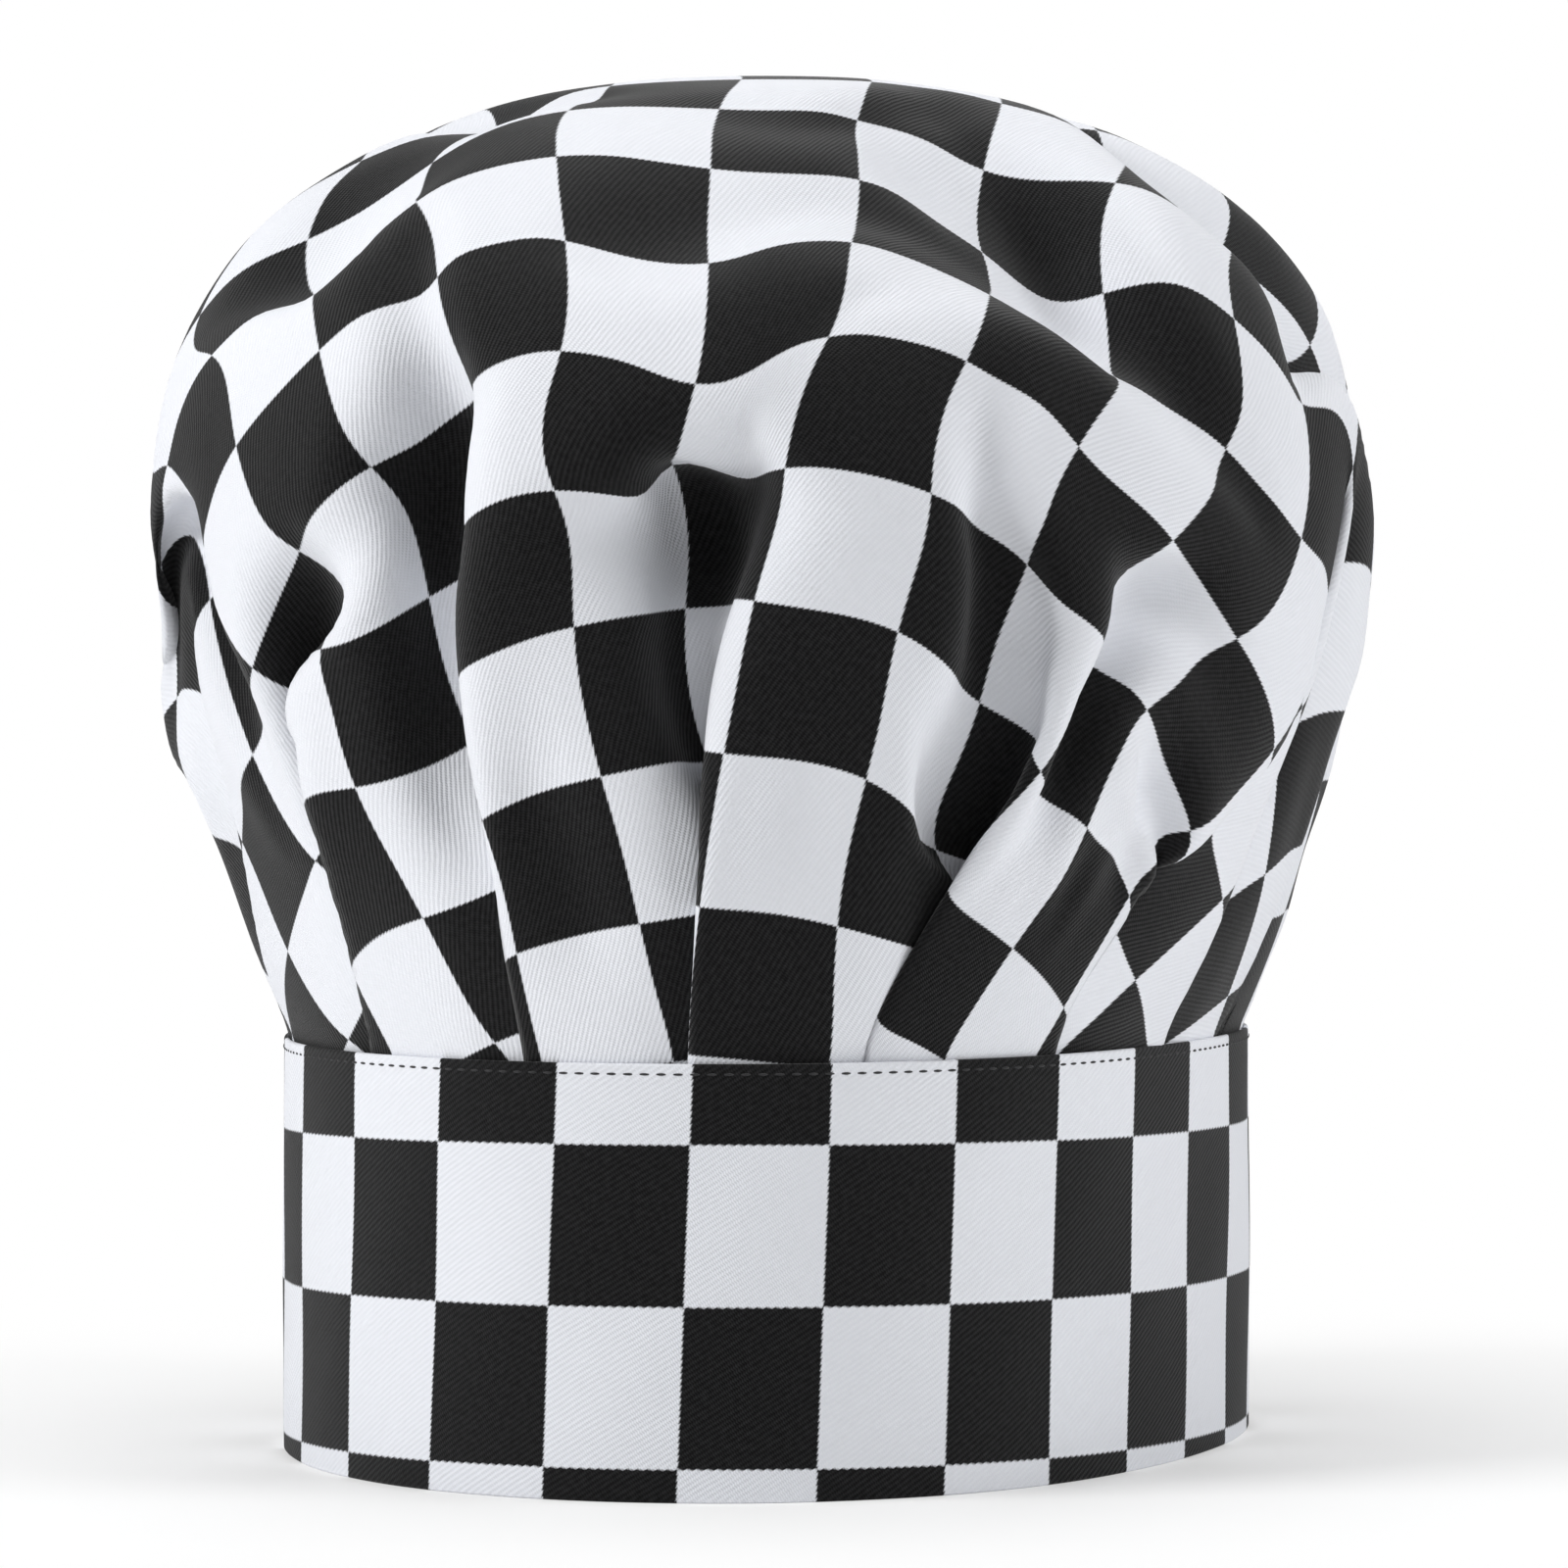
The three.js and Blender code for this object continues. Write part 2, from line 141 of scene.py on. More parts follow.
def band_point(polar):
    radius = band_radius(polar)
    return np.stack([BAND_CENTRE_X + radius * np.cos(polar), radius * np.sin(polar)], axis=-1)


WALK_POLAR = np.linspace(0.5 * math.pi, 2.5 * math.pi, 1441)
WALK_LENGTH = running_length(band_point(WALK_POLAR))
BAND_LENGTH = WALK_LENGTH[-1]


def lap_at(along):
    """How far the band's middle stands off its oval: in at the under end, out at the tab's end."""
    under = -LAP_HALF * (1 - smooth(along / LAP_EASE))
    over = LAP_HALF * smooth((along - BAND_LENGTH + LAP_EASE) / LAP_EASE)
    return np.where(along > BAND_LENGTH, LAP_HALF, under + over)


def place(along, out, z):
    """The point a length along the band's outer face, stood off along the oval's normal."""
    along, out, z = np.broadcast_arrays(along, out, z)
    polar = np.interp(np.mod(along, BAND_LENGTH), WALK_LENGTH, WALK_POLAR)
    step = 0.002
    tangent = band_point(polar + step) - band_point(polar - step)
    tangent = tangent / np.linalg.norm(tangent, axis=-1, keepdims=True)
    point = band_point(polar)
    shift = out + lap_at(along)
    return np.stack([point[..., 0] + tangent[..., 1] * shift,
                     point[..., 1] - tangent[..., 0] * shift, z], axis=-1)


def over_tab(along, out, z):
    """The same past the band's end, where the tab's outer face rises over the tapes.

    Up to the band's end this is place; after it the oval's normal carries the face out by half the
    lap and then by a smooth step of the other half."""
    past = np.maximum(along - BAND_LENGTH, 0.0)
    return place(along, out + LAP_HALF * smooth(past / LAP_EASE), z)


# Meshes

def grid_faces(rows, columns, round_columns=False):
    """Quads of a grid: their vertex numbers, and their numbers on the grid with its seam open."""
    last_column = columns if round_columns else columns - 1
    j, i = np.meshgrid(np.arange(rows - 1), np.arange(last_column), indexing="ij")
    corners = [(j, i), (j, i + 1), (j + 1, i + 1), (j + 1, i)]
    vertex = np.stack([a * columns + b % columns for a, b in corners], -1).reshape(-1, 4)
    open_columns = columns + 1 if round_columns else columns
    seam = np.stack([a * open_columns + b for a, b in corners], -1).reshape(-1, 4)
    return vertex, seam


def add_object(name, data):
    made = bpy.data.objects.new(name, data)
    bpy.context.scene.collection.objects.link(made)
    return made


def make_mesh(name, points, faces, flat=None, flat_faces=None):
    """A mesh in metres from points in millimetres; flat is the pair of the cloth's own coordinates."""
    mesh = bpy.data.meshes.new(name)
    mesh.from_pydata((points.reshape(-1, 3) * MM).tolist(), [], faces.tolist())
    if flat is not None:
        chosen = faces if flat_faces is None else flat_faces
        pairs = np.stack(np.broadcast_arrays(*flat), -1).reshape(-1, 2)
        layer = mesh.uv_layers.new(name="flat")
        layer.data.foreach_set("uv", (pairs[chosen.ravel()] * MM).ravel())
    mesh.polygons.foreach_set("use_smooth", np.ones(len(faces), bool))
    mesh.update()
    return add_object(name, mesh)


def face_outwards(piece):
    """Turn the faces over if most of them look towards the hat's middle."""
    mesh = piece.data
    normal, centre = np.zeros((2, len(mesh.polygons), 3))
    mesh.polygons.foreach_get("normal", normal.ravel())
    mesh.polygons.foreach_get("center", centre.ravel())
    if np.median((normal * (centre - HAT_MIDDLE * MM)).sum(1)) < 0:
        mesh.flip_normals()


def add_modifier(piece, kind, **settings):
    modifier = piece.modifiers.new(kind.lower(), kind)
    for name, value in settings.items():
        setattr(modifier, name, value)


def settle(piece):
    """Replace the mesh with the result of its modifiers."""
    bpy.context.view_layer.update()
    graph = bpy.context.evaluated_depsgraph_get()
    mesh = bpy.data.meshes.new_from_object(piece.evaluated_get(graph), depsgraph=graph)
    piece.modifiers.clear()
    piece.data = mesh


# Crown cloth: one flat disc, its pleats laid by a formula and then relaxed with its own lengths.
# The disc's flat coordinates are u to the right and v towards the front, from its middle.

DISC_RADIUS = 280.0
SEAM_RADIUS = 271.0
CELLS_PER_CHECK = 5
CELL = CHECK / CELLS_PER_CHECK
CHECK_COLUMN_AT = -8.0
CHECK_ROW_AT = 65.7

# Pleats as read from the photograph, from the left silhouette to the right one: where each starts on
# the disc (angle, radius) and round the hat (angle), the stretch of disc that it hides at the band
# (from, to), its angle round the hat there, 1 if its right-hand panel lies on top, else -1, the
# powers by which its place on the disc and round the hat change on the way down, and how flat it
# lies where it starts
SEEN_PLEATS = [
    (-56.0, 172.0, -66.0, -66.0, -54.5, -78.0, 1, 1.0, 1.2, 0.15),
    (-36.5, 176.0, -46.0, -43.3, -32.1, -44.0, 1, 1.3, 2.5, 0.15),
    (-22.5, 145.0, -29.0, -23.7, -13.9, -23.8, 1, 0.8, 1.6, 0.15),
    (1.5, 147.0, -3.0, -7.1, 3.3, -8.4, 1, 1.0, 1.3, 0.15),
    (23.0, 172.0, 25.0, 10.0, 21.0, 8.7, 1, 1.7, 1.5, 0.75),
    (51.0, 155.0, 58.0, 34.2, 46.0, 33.6, -1, 1.6, 1.6, 0.6),
    (62.0, 170.0, 70.0, 53.7, 65.0, 57.0, -1, 1.2, 1.5, 0.3),
    (80.0, 160.0, 86.0, 71.3, 83.0, 77.0, -1, 1.0, 1.2, 0.15),
]

# Pleats that the photograph doesn't show, spread between these and the slit at the back: small
# changes of each one's start angle, start radius and angle at the band; then how far they start
# turned, their start radius, the hidden share of each one's disc, and their powers and lean
LEFT_CHANGES = [(3, 0, 0), (-2, 14, 2), (2, -10, -1), (-3, 8, 2), (2, -14, -2), (-1, 10, 1), (1, -6, 0)]
RIGHT_CHANGES = [(2, 10, 1), (-3, -12, -2), (1, 6, 2), (3, 14, -1), (-2, -8, 0)]
LEFT_DRIFT = -6.0
RIGHT_DRIFT = 5.0
START_RADIUS = 167.0
HIDDEN_SHARE = 0.71
UNSEEN_FORM = (1.0, 1.1, 0.15)

# How a pleat opens and folds over, by the disc's radius, and how far its layers lie apart
OPEN_BEFORE = 15.0
OPEN_OVER = 45.0
LEAN_FROM = 200.0
LEAN_TO = 262.0
ROLL_OVER = 5.0
DIVE_OVER = 10.0
BAND_DIVE_OVER = 4.0
BAND_DIVE_FROM = 235.0
BAND_DIVE_TO = 255.0
LOOSE_GAP = 2.0
LAYER_GAP = 0.45
GAP_FROM = 170.0
GAP_TO = SEAM_RADIUS - 12.0
HIDDEN_FROM = -0.4

# Corners of the printed check that show on the crown, by row and then by column: place in the
# photograph in pixels; column 0 and row 0 pass near the disc's middle
CORNERS_PX = {
    -1: {3: (1131, 172)},
    0: {-4: (185, 325), -3: (316, 252), -2: (441, 167), -1: (577, 113), 0: (737, 113), 1: (877, 130),
        2: (1012, 187), 4: (1245, 260)},
    1: {-6: (160, 575), -5: (163, 438), -4: (198, 366), -3: (325, 318), -2: (418, 203), -1: (567, 152),
        0: (728, 174), 1: (875, 185), 2: (1009, 266), 3: (1148, 319), 5: (1325, 403), 6: (1388, 455)},
    2: {-7: (212, 728), -6: (205, 588), -5: (211, 576), -4: (227, 455), -3: (320, 350), -2: (442, 268),
        -1: (568, 249), 0: (727, 280), 1: (863, 247), 2: (1008, 308), 3: (1130, 390), 4: (1248, 453),
        5: (1330, 557)},
    3: {-7: (256, 853), -6: (262, 787), -5: (254, 677), -4: (307, 563), -3: (382, 460), -2: (484, 411),
        -1: (570, 357), 0: (722, 405), 1: (831, 346), 2: (988, 362), 3: (1108, 449), 4: (1203, 546),
        5: (1263, 649), 6: (1306, 772)},
    4: {-7: (308, 986), -6: (329, 883), -5: (319, 757), -4: (324, 657), -3: (435, 609), -1: (567, 489),
        0: (699, 480), 1: (797, 465), 2: (955, 501), 3: (1058, 563), 4: (1124, 655), 5: (1166, 717),
        6: (1217, 859)},
    5: {-7: (352, 1078), -5: (325, 817), -4: (362, 805), -1: (583, 638), 1: (768, 613), 2: (917, 637),
        3: (1012, 726), 4: (1067, 790), 5: (1111, 850), 6: (1165, 907)},
    6: {-5: (347, 965), -4: (433, 941), -1: (612, 792), 1: (737, 769), 2: (887, 793), 3: (943, 880),
        4: (967, 906), 5: (1040, 976), 6: (1084, 1028)},
    7: {-4: (493, 1075), -1: (652, 938), 1: (707, 916), 2: (850, 931), 4: (891, 1037)},
    8: {1: (691, 1070), 2: (847, 1088)},
}

# Sharp creases above the pleats: from and to, as column and row of the check, then depth and half
# width in millimetres
CREASES = [
    (-2.10, 0.8, -2.30, 3.6, 5.0, 7.5),
    (-0.15, 3.2, 0.30, 5.2, 6.0, 7.5),
    (2.10, 2.6, 2.85, 5.2, 4.5, 7.5),
    (2.85, 3.9, 2.85, 6.4, 4.0, 7.5),
    (4.30, 2.7, 4.50, 4.7, 5.0, 7.5),
    (5.50, 3.7, 5.80, 5.4, 4.5, 7.5),
    (-3.30, 3.9, -3.45, 6.4, 4.0, 7.5),
    (1.45, 5.2, 1.60, 7.4, 2.0, 9.0),
    (-1.55, 5.4, -1.40, 7.6, 2.0, 9.0),
]

# Rounds of the solver, and after how many it does its slow steps
ROUNDS = 600
MAP_EVERY = 3

# Springs: what is left of a push, of a pull across the cells and of a pull against bending; then the
# bending springs, as reach in cells, share of the flat length, and radii between which they fade
SQUEEZE = 0.15
SHEAR = 0.3
BEND = 0.3
BENDS = [(2, 1.0, 190.0, 240.0), (4, 0.985, 150.0, 200.0), (8, 0.95, 120.0, 170.0)]

# Other pulls: to the read corners, outwards, to the laid shape, to the outline and, by the band, to
# where the pleats are sewn in
CORNER_REACH = 16.0
CORNER_PULL = 0.5
CORNER_SLACK = 0.15
PRESSURE = 0.02
SHAPE_HOLD = 0.02
GOAL_INSET = 3.0
OUTLINE_PRESS = 0.3
BULGE = 1.5
ANCHOR = 0.15
ANCHOR_FROM = 215.0
ANCHOR_TO = 262.0


def crown_profile():
    """The mean crown from its top to the band by length: a superellipse cap, then a waist.

    Gives the length, the cap's share of its radius, its share of the height above the widest ring,
    how far down the waist it is, the unit tangent, and the distance from the hat's middle line."""
    share = np.sin(np.linspace(0, 0.5 * math.pi, 1500)) ** (2 / SHOULDER_FULLNESS)
    lift = np.clip(1 - share ** SHOULDER_FULLNESS, 0, 1) ** (1 / SHOULDER_FULLNESS)
    down = np.linspace(0, 1, 1500)[1:]
    wide = 0.5 * (CROWN_HALF_WIDTH + CROWN_HALF_DEPTH)
    cap = np.stack([wide * share, WIDEST_HEIGHT + (HAT_HEIGHT - WIDEST_HEIGHT) * lift], 1)
    waist = np.stack([lerp(wide, BAND_MEAN_RADIUS, down ** WAIST_FULLNESS),
                      lerp(WIDEST_HEIGHT, BAND_HEIGHT, down)], 1)
    line = np.vstack([cap, waist])
    length = running_length(line)
    tangent = np.gradient(line, length, axis=0)
    zeros = np.zeros(len(down))
    return (length, np.concatenate([share, zeros + 1]), np.concatenate([lift, zeros]),
            np.concatenate([np.zeros(len(share)), down]), tangent, line[:, 0])


PROFILE_LENGTH, CAP_SHARE, CAP_LIFT, WAIST_DOWN, TANGENT, MEAN_RADIUS = crown_profile()


def on_profile(radius, column):
    """A column of the profile at a radius of the disc, which is spread evenly over its length."""
    return np.interp(np.clip(radius / SEAM_RADIUS, 0, 1) * PROFILE_LENGTH[-1], PROFILE_LENGTH, column)


def fullness(radius):
    """The share of the disc's circle at a radius that is too much for the hat there."""
    return np.maximum(0.0, 1 - on_profile(radius, MEAN_RADIUS) / np.maximum(radius, 1e-6))


def spread_pleats(changes, start, end, start_round, end_round, side, drift):
    """Like pleats side by side over a stretch of disc and a stretch round the hat.

    Each starts turned by drift hundredths of its angle from the slit."""
    count = len(changes)
    step = (end - start) / (count + (1 - HIDDEN_SHARE))
    rows = []
    for k, (turn, reach, shift) in enumerate(changes):
        first = start + step * (k + 1 - HIDDEN_SHARE)
        last = start + step * (k + 1)
        middle = (first + last) / 2
        drifted = middle + drift * (180 - abs(middle)) / 100
        round_there = lerp(start_round, end_round, (k + 1) / (count + 1)) + shift
        rows.append((middle + turn, START_RADIUS + reach, drifted, first, last, round_there, side,
                     *UNSEEN_FORM))
    return rows


def all_pleats():
    """The rows of every pleat, from the slit round the left, the front and the right back to it."""
    left, right = SEEN_PLEATS[0], SEEN_PLEATS[-1]
    before = spread_pleats(LEFT_CHANGES, -180.0, left[3], -180.0, left[5], 1, LEFT_DRIFT)
    after = spread_pleats(RIGHT_CHANGES, right[4], 180.0, right[5], 180.0, -1, RIGHT_DRIFT)
    return np.array(before + SEEN_PLEATS + after)


def disc_grid():
    """The disc's square grid: lines on the check's borders and CELLS_PER_CHECK to a check."""
    columns = np.arange(math.ceil((-DISC_RADIUS - CHECK_COLUMN_AT) / CELL) - 1,
                        math.floor((DISC_RADIUS - CHECK_COLUMN_AT) / CELL) + 2)
    rows = np.arange(math.ceil((-DISC_RADIUS - CHECK_ROW_AT) / CELL) - 1,
                     math.floor((DISC_RADIUS - CHECK_ROW_AT) / CELL) + 2)
    return columns, rows


COLUMNS, ROWS = disc_grid()
U, V = np.meshgrid(CHECK_COLUMN_AT + CELL * COLUMNS, CHECK_ROW_AT + CELL * ROWS)
RADIUS = np.hypot(U, V)
ANGLE = np.degrees(np.arctan2(U, V))
CLOTH_THERE = RADIUS <= DISC_RADIUS
SLIT_COLUMN = int(np.where(COLUMNS == 1)[0][0])
SLIT_ROWS = V[:, 0] < -(SEAM_RADIUS - SLIT_HEIGHT)


def pleat_map():
    """For each point of the disc, its angle round the hat, its layer and how deep it lies in a fold.

    Between two pleats the angle runs evenly. Inside a pleat's hidden stretch the cloth runs into
    the hat and back, straight inwards where the pleat starts and leaning over until it lies flat
    under the panel on top of it at the band. The layer is 0 on the outside, -1 for the returning
    half and -2 for the half below it."""
    pleats = all_pleats()
    shape = (len(pleats),) + RADIUS.shape
    first, last, turn, open_share = (np.empty(shape) for _ in range(4))
    full = fullness(np.array(SEAM_RADIUS))
    for k, row in enumerate(pleats):
        at, start, round_start, hide_from, hide_to, round_band, _, power, round_power, _ = row
        t = np.clip((RADIUS - start) / (SEAM_RADIUS - start), 0, 1)
        open_share[k] = smooth((RADIUS - start + OPEN_BEFORE) / OPEN_OVER)
        width = (hide_to - hide_from) * np.minimum(fullness(RADIUS) / full, 1) * open_share[k]
        middle = lerp(at, (hide_from + hide_to) / 2, t ** power)
        first[k], last[k] = middle - width / 2, middle + width / 2
        above = lerp(at, round_start, np.clip(RADIUS / start, 0, 1))
        turn[k] = np.where(RADIUS < start, above, lerp(round_start, round_band, t ** round_power))
    panel = (ANGLE[None] > (first + last) / 2).sum(0)
    around = np.maximum(on_profile(RADIUS, MEAN_RADIUS), 20.0)
    slit = np.degrees(SLIT_HALF_WIDTH / around) * smooth((RADIUS - SEAM_RADIUS + SLIT_HEIGHT) / SLIT_HEIGHT)
    rim = np.full((1,) + RADIUS.shape, 180.0)

    def of_panel(*parts):
        """For each point, the value of the panel it lies in, out of values in the panels' order."""
        return np.take_along_axis(np.concatenate(parts), panel[None], 0)[0]

    left, right = of_panel(-rim, last), of_panel(first, rim)
    left_turn, right_turn = of_panel(-rim + slit, turn), of_panel(turn, rim - slit)
    left_open, right_open = of_panel(0 * rim, open_share), of_panel(open_share, 0 * rim)
    sides, leans = (np.concatenate([[0], pleats[:, k], [0]]) for k in (6, 9))
    left_side, right_side = sides[panel], sides[panel + 1]
    after, before = ANGLE < left, ANGLE > right
    into = np.radians(np.where(after, left - ANGLE, np.where(before, ANGLE - right, 0))) * RADIUS
    flat_start = np.where(after, leans[panel], leans[panel + 1])
    lean = 0.5 * math.pi * lerp(flat_start, 1.0, fade_in(RADIUS, LEAN_FROM, LEAN_TO))
    angle = lerp(left_turn, right_turn, np.clip((ANGLE - left) / np.maximum(right - left, 1e-6), 0, 1))
    side = np.where(after, left_side, right_side)
    angle = angle + side * np.degrees(into * np.sin(lean) / around)
    from_left = (ANGLE - left) * np.radians(RADIUS)
    from_right = (right - ANGLE) * np.radians(RADIUS)
    dive_over = lerp(DIVE_OVER, BAND_DIVE_OVER, fade_in(RADIUS, BAND_DIVE_FROM, BAND_DIVE_TO))

    def layer(side, hidden, distance, top_side):
        """Both sides of a fold: the panel on top rolls under, the one below dives under it."""
        roll = np.where(hidden, -smooth(-distance / ROLL_OVER), 0.0)
        dive = np.where(hidden, -2.0, -2 * (1 - smooth(distance / dive_over)))
        return np.where(side == top_side, roll, np.where(side == 0, 0.0, dive))

    at_left = layer(left_side, after, from_left, 1) * left_open
    at_right = layer(right_side, before, from_right, -1) * right_open
    return angle, np.where(np.abs(at_left) > np.abs(at_right), at_left, at_right), into * np.cos(lean)


def on_crown(angle, out):
    """The crown's even surface: profile by the disc's radius, plan between the seam and an ellipse."""
    share, lift, down = (on_profile(RADIUS, column) for column in (CAP_SHARE, CAP_LIFT, WAIST_DOWN))
    tangent_r, tangent_z = (on_profile(RADIUS, column) for column in TANGENT.T)
    polar = np.radians(270 + angle)
    along = np.interp(np.mod(polar - WALK_POLAR[0], 2 * math.pi) + WALK_POLAR[0], WALK_POLAR, WALK_LENGTH)
    seam = band_radius(polar) + CROWN_SEAM_OUT + lap_at(along)
    wide = 1 / np.hypot(np.cos(polar) / CROWN_HALF_WIDTH, np.sin(polar) / CROWN_HALF_DEPTH)
    plan = np.where(down > 0, lerp(wide, seam, down ** WAIST_FULLNESS), wide * share)
    z = WIDEST_HEIGHT + (HAT_HEIGHT - WIDEST_HEIGHT) * lift - (WIDEST_HEIGHT - BAND_HEIGHT) * down
    z = z - np.maximum(0, RADIUS - SEAM_RADIUS) + out * tangent_r
    plan = plan - out * tangent_z
    return np.stack([BAND_CENTRE_X * down + plan * np.cos(polar), plan * np.sin(polar), z])


def springs():
    """Spring groups of the grid in which no two share a point, so that each is one array step.

    Each group has its two ends as slices, its rest length, a mask and its kind: 0 along the yarns,
    1 across the cells and 2 against bending."""
    height, width = RADIUS.shape
    every = slice(None)
    whole = np.ones((height, width - 1), bool)
    whole[SLIT_ROWS, SLIT_COLUMN] = False
    groups = []
    for odd in (0, 1):
        a, b = (every, slice(odd, width - 1, 2)), (every, slice(odd + 1, width, 2))
        groups.append((a, b, CELL, CLOTH_THERE[a] & CLOTH_THERE[b] & whole[:, odd::2], 0))
        a, b = (slice(odd, height - 1, 2), every), (slice(odd + 1, height, 2), every)
        groups.append((a, b, CELL, CLOTH_THERE[a] & CLOTH_THERE[b], 0))
    for odd in (0, 1):
        upper, lower = slice(odd, height - 1, 2), slice(odd + 1, height, 2)
        left, right = slice(0, width - 1), slice(1, width)
        for a, b in (((upper, left), (lower, right)), ((upper, right), (lower, left))):
            mask = CLOTH_THERE[a] & CLOTH_THERE[b] & whole[:-1][odd::2]
            groups.append((a, b, CELL * math.sqrt(2), mask, 1))
    for reach, keep, fade_from, fade_to in BENDS:
        for axis, size in ((0, height), (1, width)):
            for start in range(2 * reach):
                cuts = [slice(start + k, size - reach + k, 2 * reach) for k in (0, reach // 2, reach)]
                a, middle, b = [(cut, every) if axis == 0 else (every, cut) for cut in cuts]
                mask = CLOTH_THERE[a] & CLOTH_THERE[b] & CLOTH_THERE[middle]
                if axis == 1:
                    clear = np.ones((height, width), bool)
                    clear[SLIT_ROWS, SLIT_COLUMN - reach + 1:SLIT_COLUMN + 1] = False
                    mask = mask & clear[a]
                soft = 1 - fade_in(RADIUS[middle], fade_from, fade_to)
                groups.append((a, b, keep * reach * CELL, mask * soft, 2))
    return groups


def pull_springs(cloth, freedom, groups):
    """Move the ends of each spring towards its rest length; squeezed cloth gives way more."""
    for a, b, rest, mask, kind in groups:
        start, end = cloth[:, a[0], a[1]], cloth[:, b[0], b[1]]
        line = end - start
        length = np.sqrt((line * line).sum(0)) + 1e-9
        error = length - rest
        if kind == 2:
            error = BEND * np.minimum(error, 0)
        else:
            error = np.where(error < 0, SQUEEZE * error, error) * (1.0, SHEAR)[kind]
        share = mask * error / (length * (freedom[a] + freedom[b] + 1e-9))
        start += line * (freedom[a] * share)
        end -= line * (freedom[b] * share)


def outward(cloth):
    """Unit normals of the grid, turned away from the hat's inside."""
    normal = np.cross(np.gradient(cloth, axis=2), np.gradient(cloth, axis=1), axis=0)
    normal /= np.linalg.norm(normal, axis=0) + 1e-9
    away = (normal * (cloth - HAT_MIDDLE[:, None, None])).sum(0)
    return normal * np.sign(np.median(away[CLOTH_THERE]))


def corner_pull():
    """A function that gives the move of the whole cloth that takes the read corners to their rays.

    Each corner's miss is spread over the flat cloth by a bell, and the bells' heights are solved
    so that together they give the misses at the corners."""
    read = [(at, row, *px) for row, places in CORNERS_PX.items() for at, px in places.items()]
    column, row, px = np.split(np.array(read), (1, 2), axis=1)
    column = np.searchsorted(COLUMNS, column[:, 0] * CELLS_PER_CHECK)
    row = np.searchsorted(ROWS, row[:, 0] * CELLS_PER_CHECK)
    forward = np.array([0.0, math.cos(PITCH), -math.sin(PITCH)])
    up = np.array([0.0, math.sin(PITCH), math.cos(PITCH)])
    right = np.array([1.0, 0.0, 0.0])
    across = (px - IMAGE_PX / 2) / FOCAL_PX
    rays = forward[:, None] + right[:, None] * across[:, 0] - up[:, None] * across[:, 1]
    rays /= np.linalg.norm(rays, axis=0)
    u, v = U[row, column], V[row, column]
    bell = lambda a, b: np.exp(-(a ** 2 + b ** 2) / (2 * CORNER_REACH ** 2))
    spread = bell(U[..., None] - u, V[..., None] - v)
    weights = np.linalg.inv(bell(u[:, None] - u, v[:, None] - v) + CORNER_SLACK * np.eye(len(u)))

    def move(cloth):
        from_eye = cloth[:, row, column] - EYE[:, None]
        miss = (from_eye * rays).sum(0) * rays - from_eye
        return CORNER_PULL * np.tensordot(miss @ weights, spread, axes=(1, 2))

    return move


def four_round(grid):
    """The sum of the four neighbours of each place of a grid that closes on itself."""
    return sum(np.roll(grid, step, axis) for axis in (0, 1) for step in (1, -1))


def tuck(cloth, layer, gap, freedom):
    """Keep hidden layers inside: a map of the shown cloth's distance from the hat's middle line
    over angle and height limits theirs, a gap for each layer."""
    turns, levels, low, high = 120, 44, 60, 255
    x, y, z = cloth[0] - BAND_CENTRE_X, cloth[1], cloth[2]
    distance = np.hypot(x, y)
    turn = np.clip(((np.arctan2(x, -y) / math.pi + 1) / 2 * turns).astype(int), 0, turns - 1)
    level = np.clip(((z - low) / (high - low) * levels).astype(int), 0, levels - 1)
    shown = (layer > HIDDEN_FROM) & CLOTH_THERE & (RADIUS > 90)
    key = turn * levels + level
    count = np.bincount(key[shown], minlength=turns * levels)
    total = np.bincount(key[shown], weights=distance[shown], minlength=turns * levels)
    found = (total / np.maximum(count, 1)).reshape(turns, levels)
    weight = (count > 0).reshape(turns, levels) * 1.0
    for _ in range(3):
        near_weight = four_round(weight)
        filled = four_round(found * weight) / np.maximum(near_weight, 1e-9)
        new = (weight == 0) & (near_weight > 0)
        found, weight = np.where(new, filled, found), np.where(new, 1.0, weight)
    limit = found[turn, level] + layer * np.maximum(0.5 * gap, 0.6)
    known = weight[turn, level] > 0
    over = np.where((layer < HIDDEN_FROM) & (RADIUS > 120) & known, np.maximum(0, distance - limit), 0)
    share = 0.5 * over * freedom / np.maximum(distance, 1)
    cloth[0] -= x * share
    cloth[1] -= y * share


def keep_in_outline(cloth, freedom):
    """Press cloth that stands past the crown's outline back to it, over the cap about its middle
    and under the widest height straight inwards."""
    x, y, z = cloth
    distance = np.hypot(x, y) + 1e-6
    wide = distance / np.hypot(x / CROWN_HALF_WIDTH, y / CROWN_HALF_DEPTH) + BULGE
    rise = np.maximum(z - WIDEST_HEIGHT, 0) / (HAT_HEIGHT - WIDEST_HEIGHT)
    past = (distance / wide) ** SHOULDER_FULLNESS + rise ** SHOULDER_FULLNESS
    cap_share = np.maximum(past, 1) ** (-1 / SHOULDER_FULLNESS)
    down = np.clip((WIDEST_HEIGHT - z) / (WIDEST_HEIGHT - BAND_HEIGHT), 0, 1)
    seam = band_radius(np.arctan2(y, x)) + BULGE * (1 - down)
    waist_share = np.minimum(1, lerp(wide, seam, down ** WAIST_FULLNESS) / distance)
    share = np.where(z > WIDEST_HEIGHT, cap_share, waist_share)
    press = OUTLINE_PRESS * (1 - share) * freedom
    cloth[0] -= x * press
    cloth[1] -= y * press
    cloth[2] -= np.maximum(z - WIDEST_HEIGHT, 0) * press


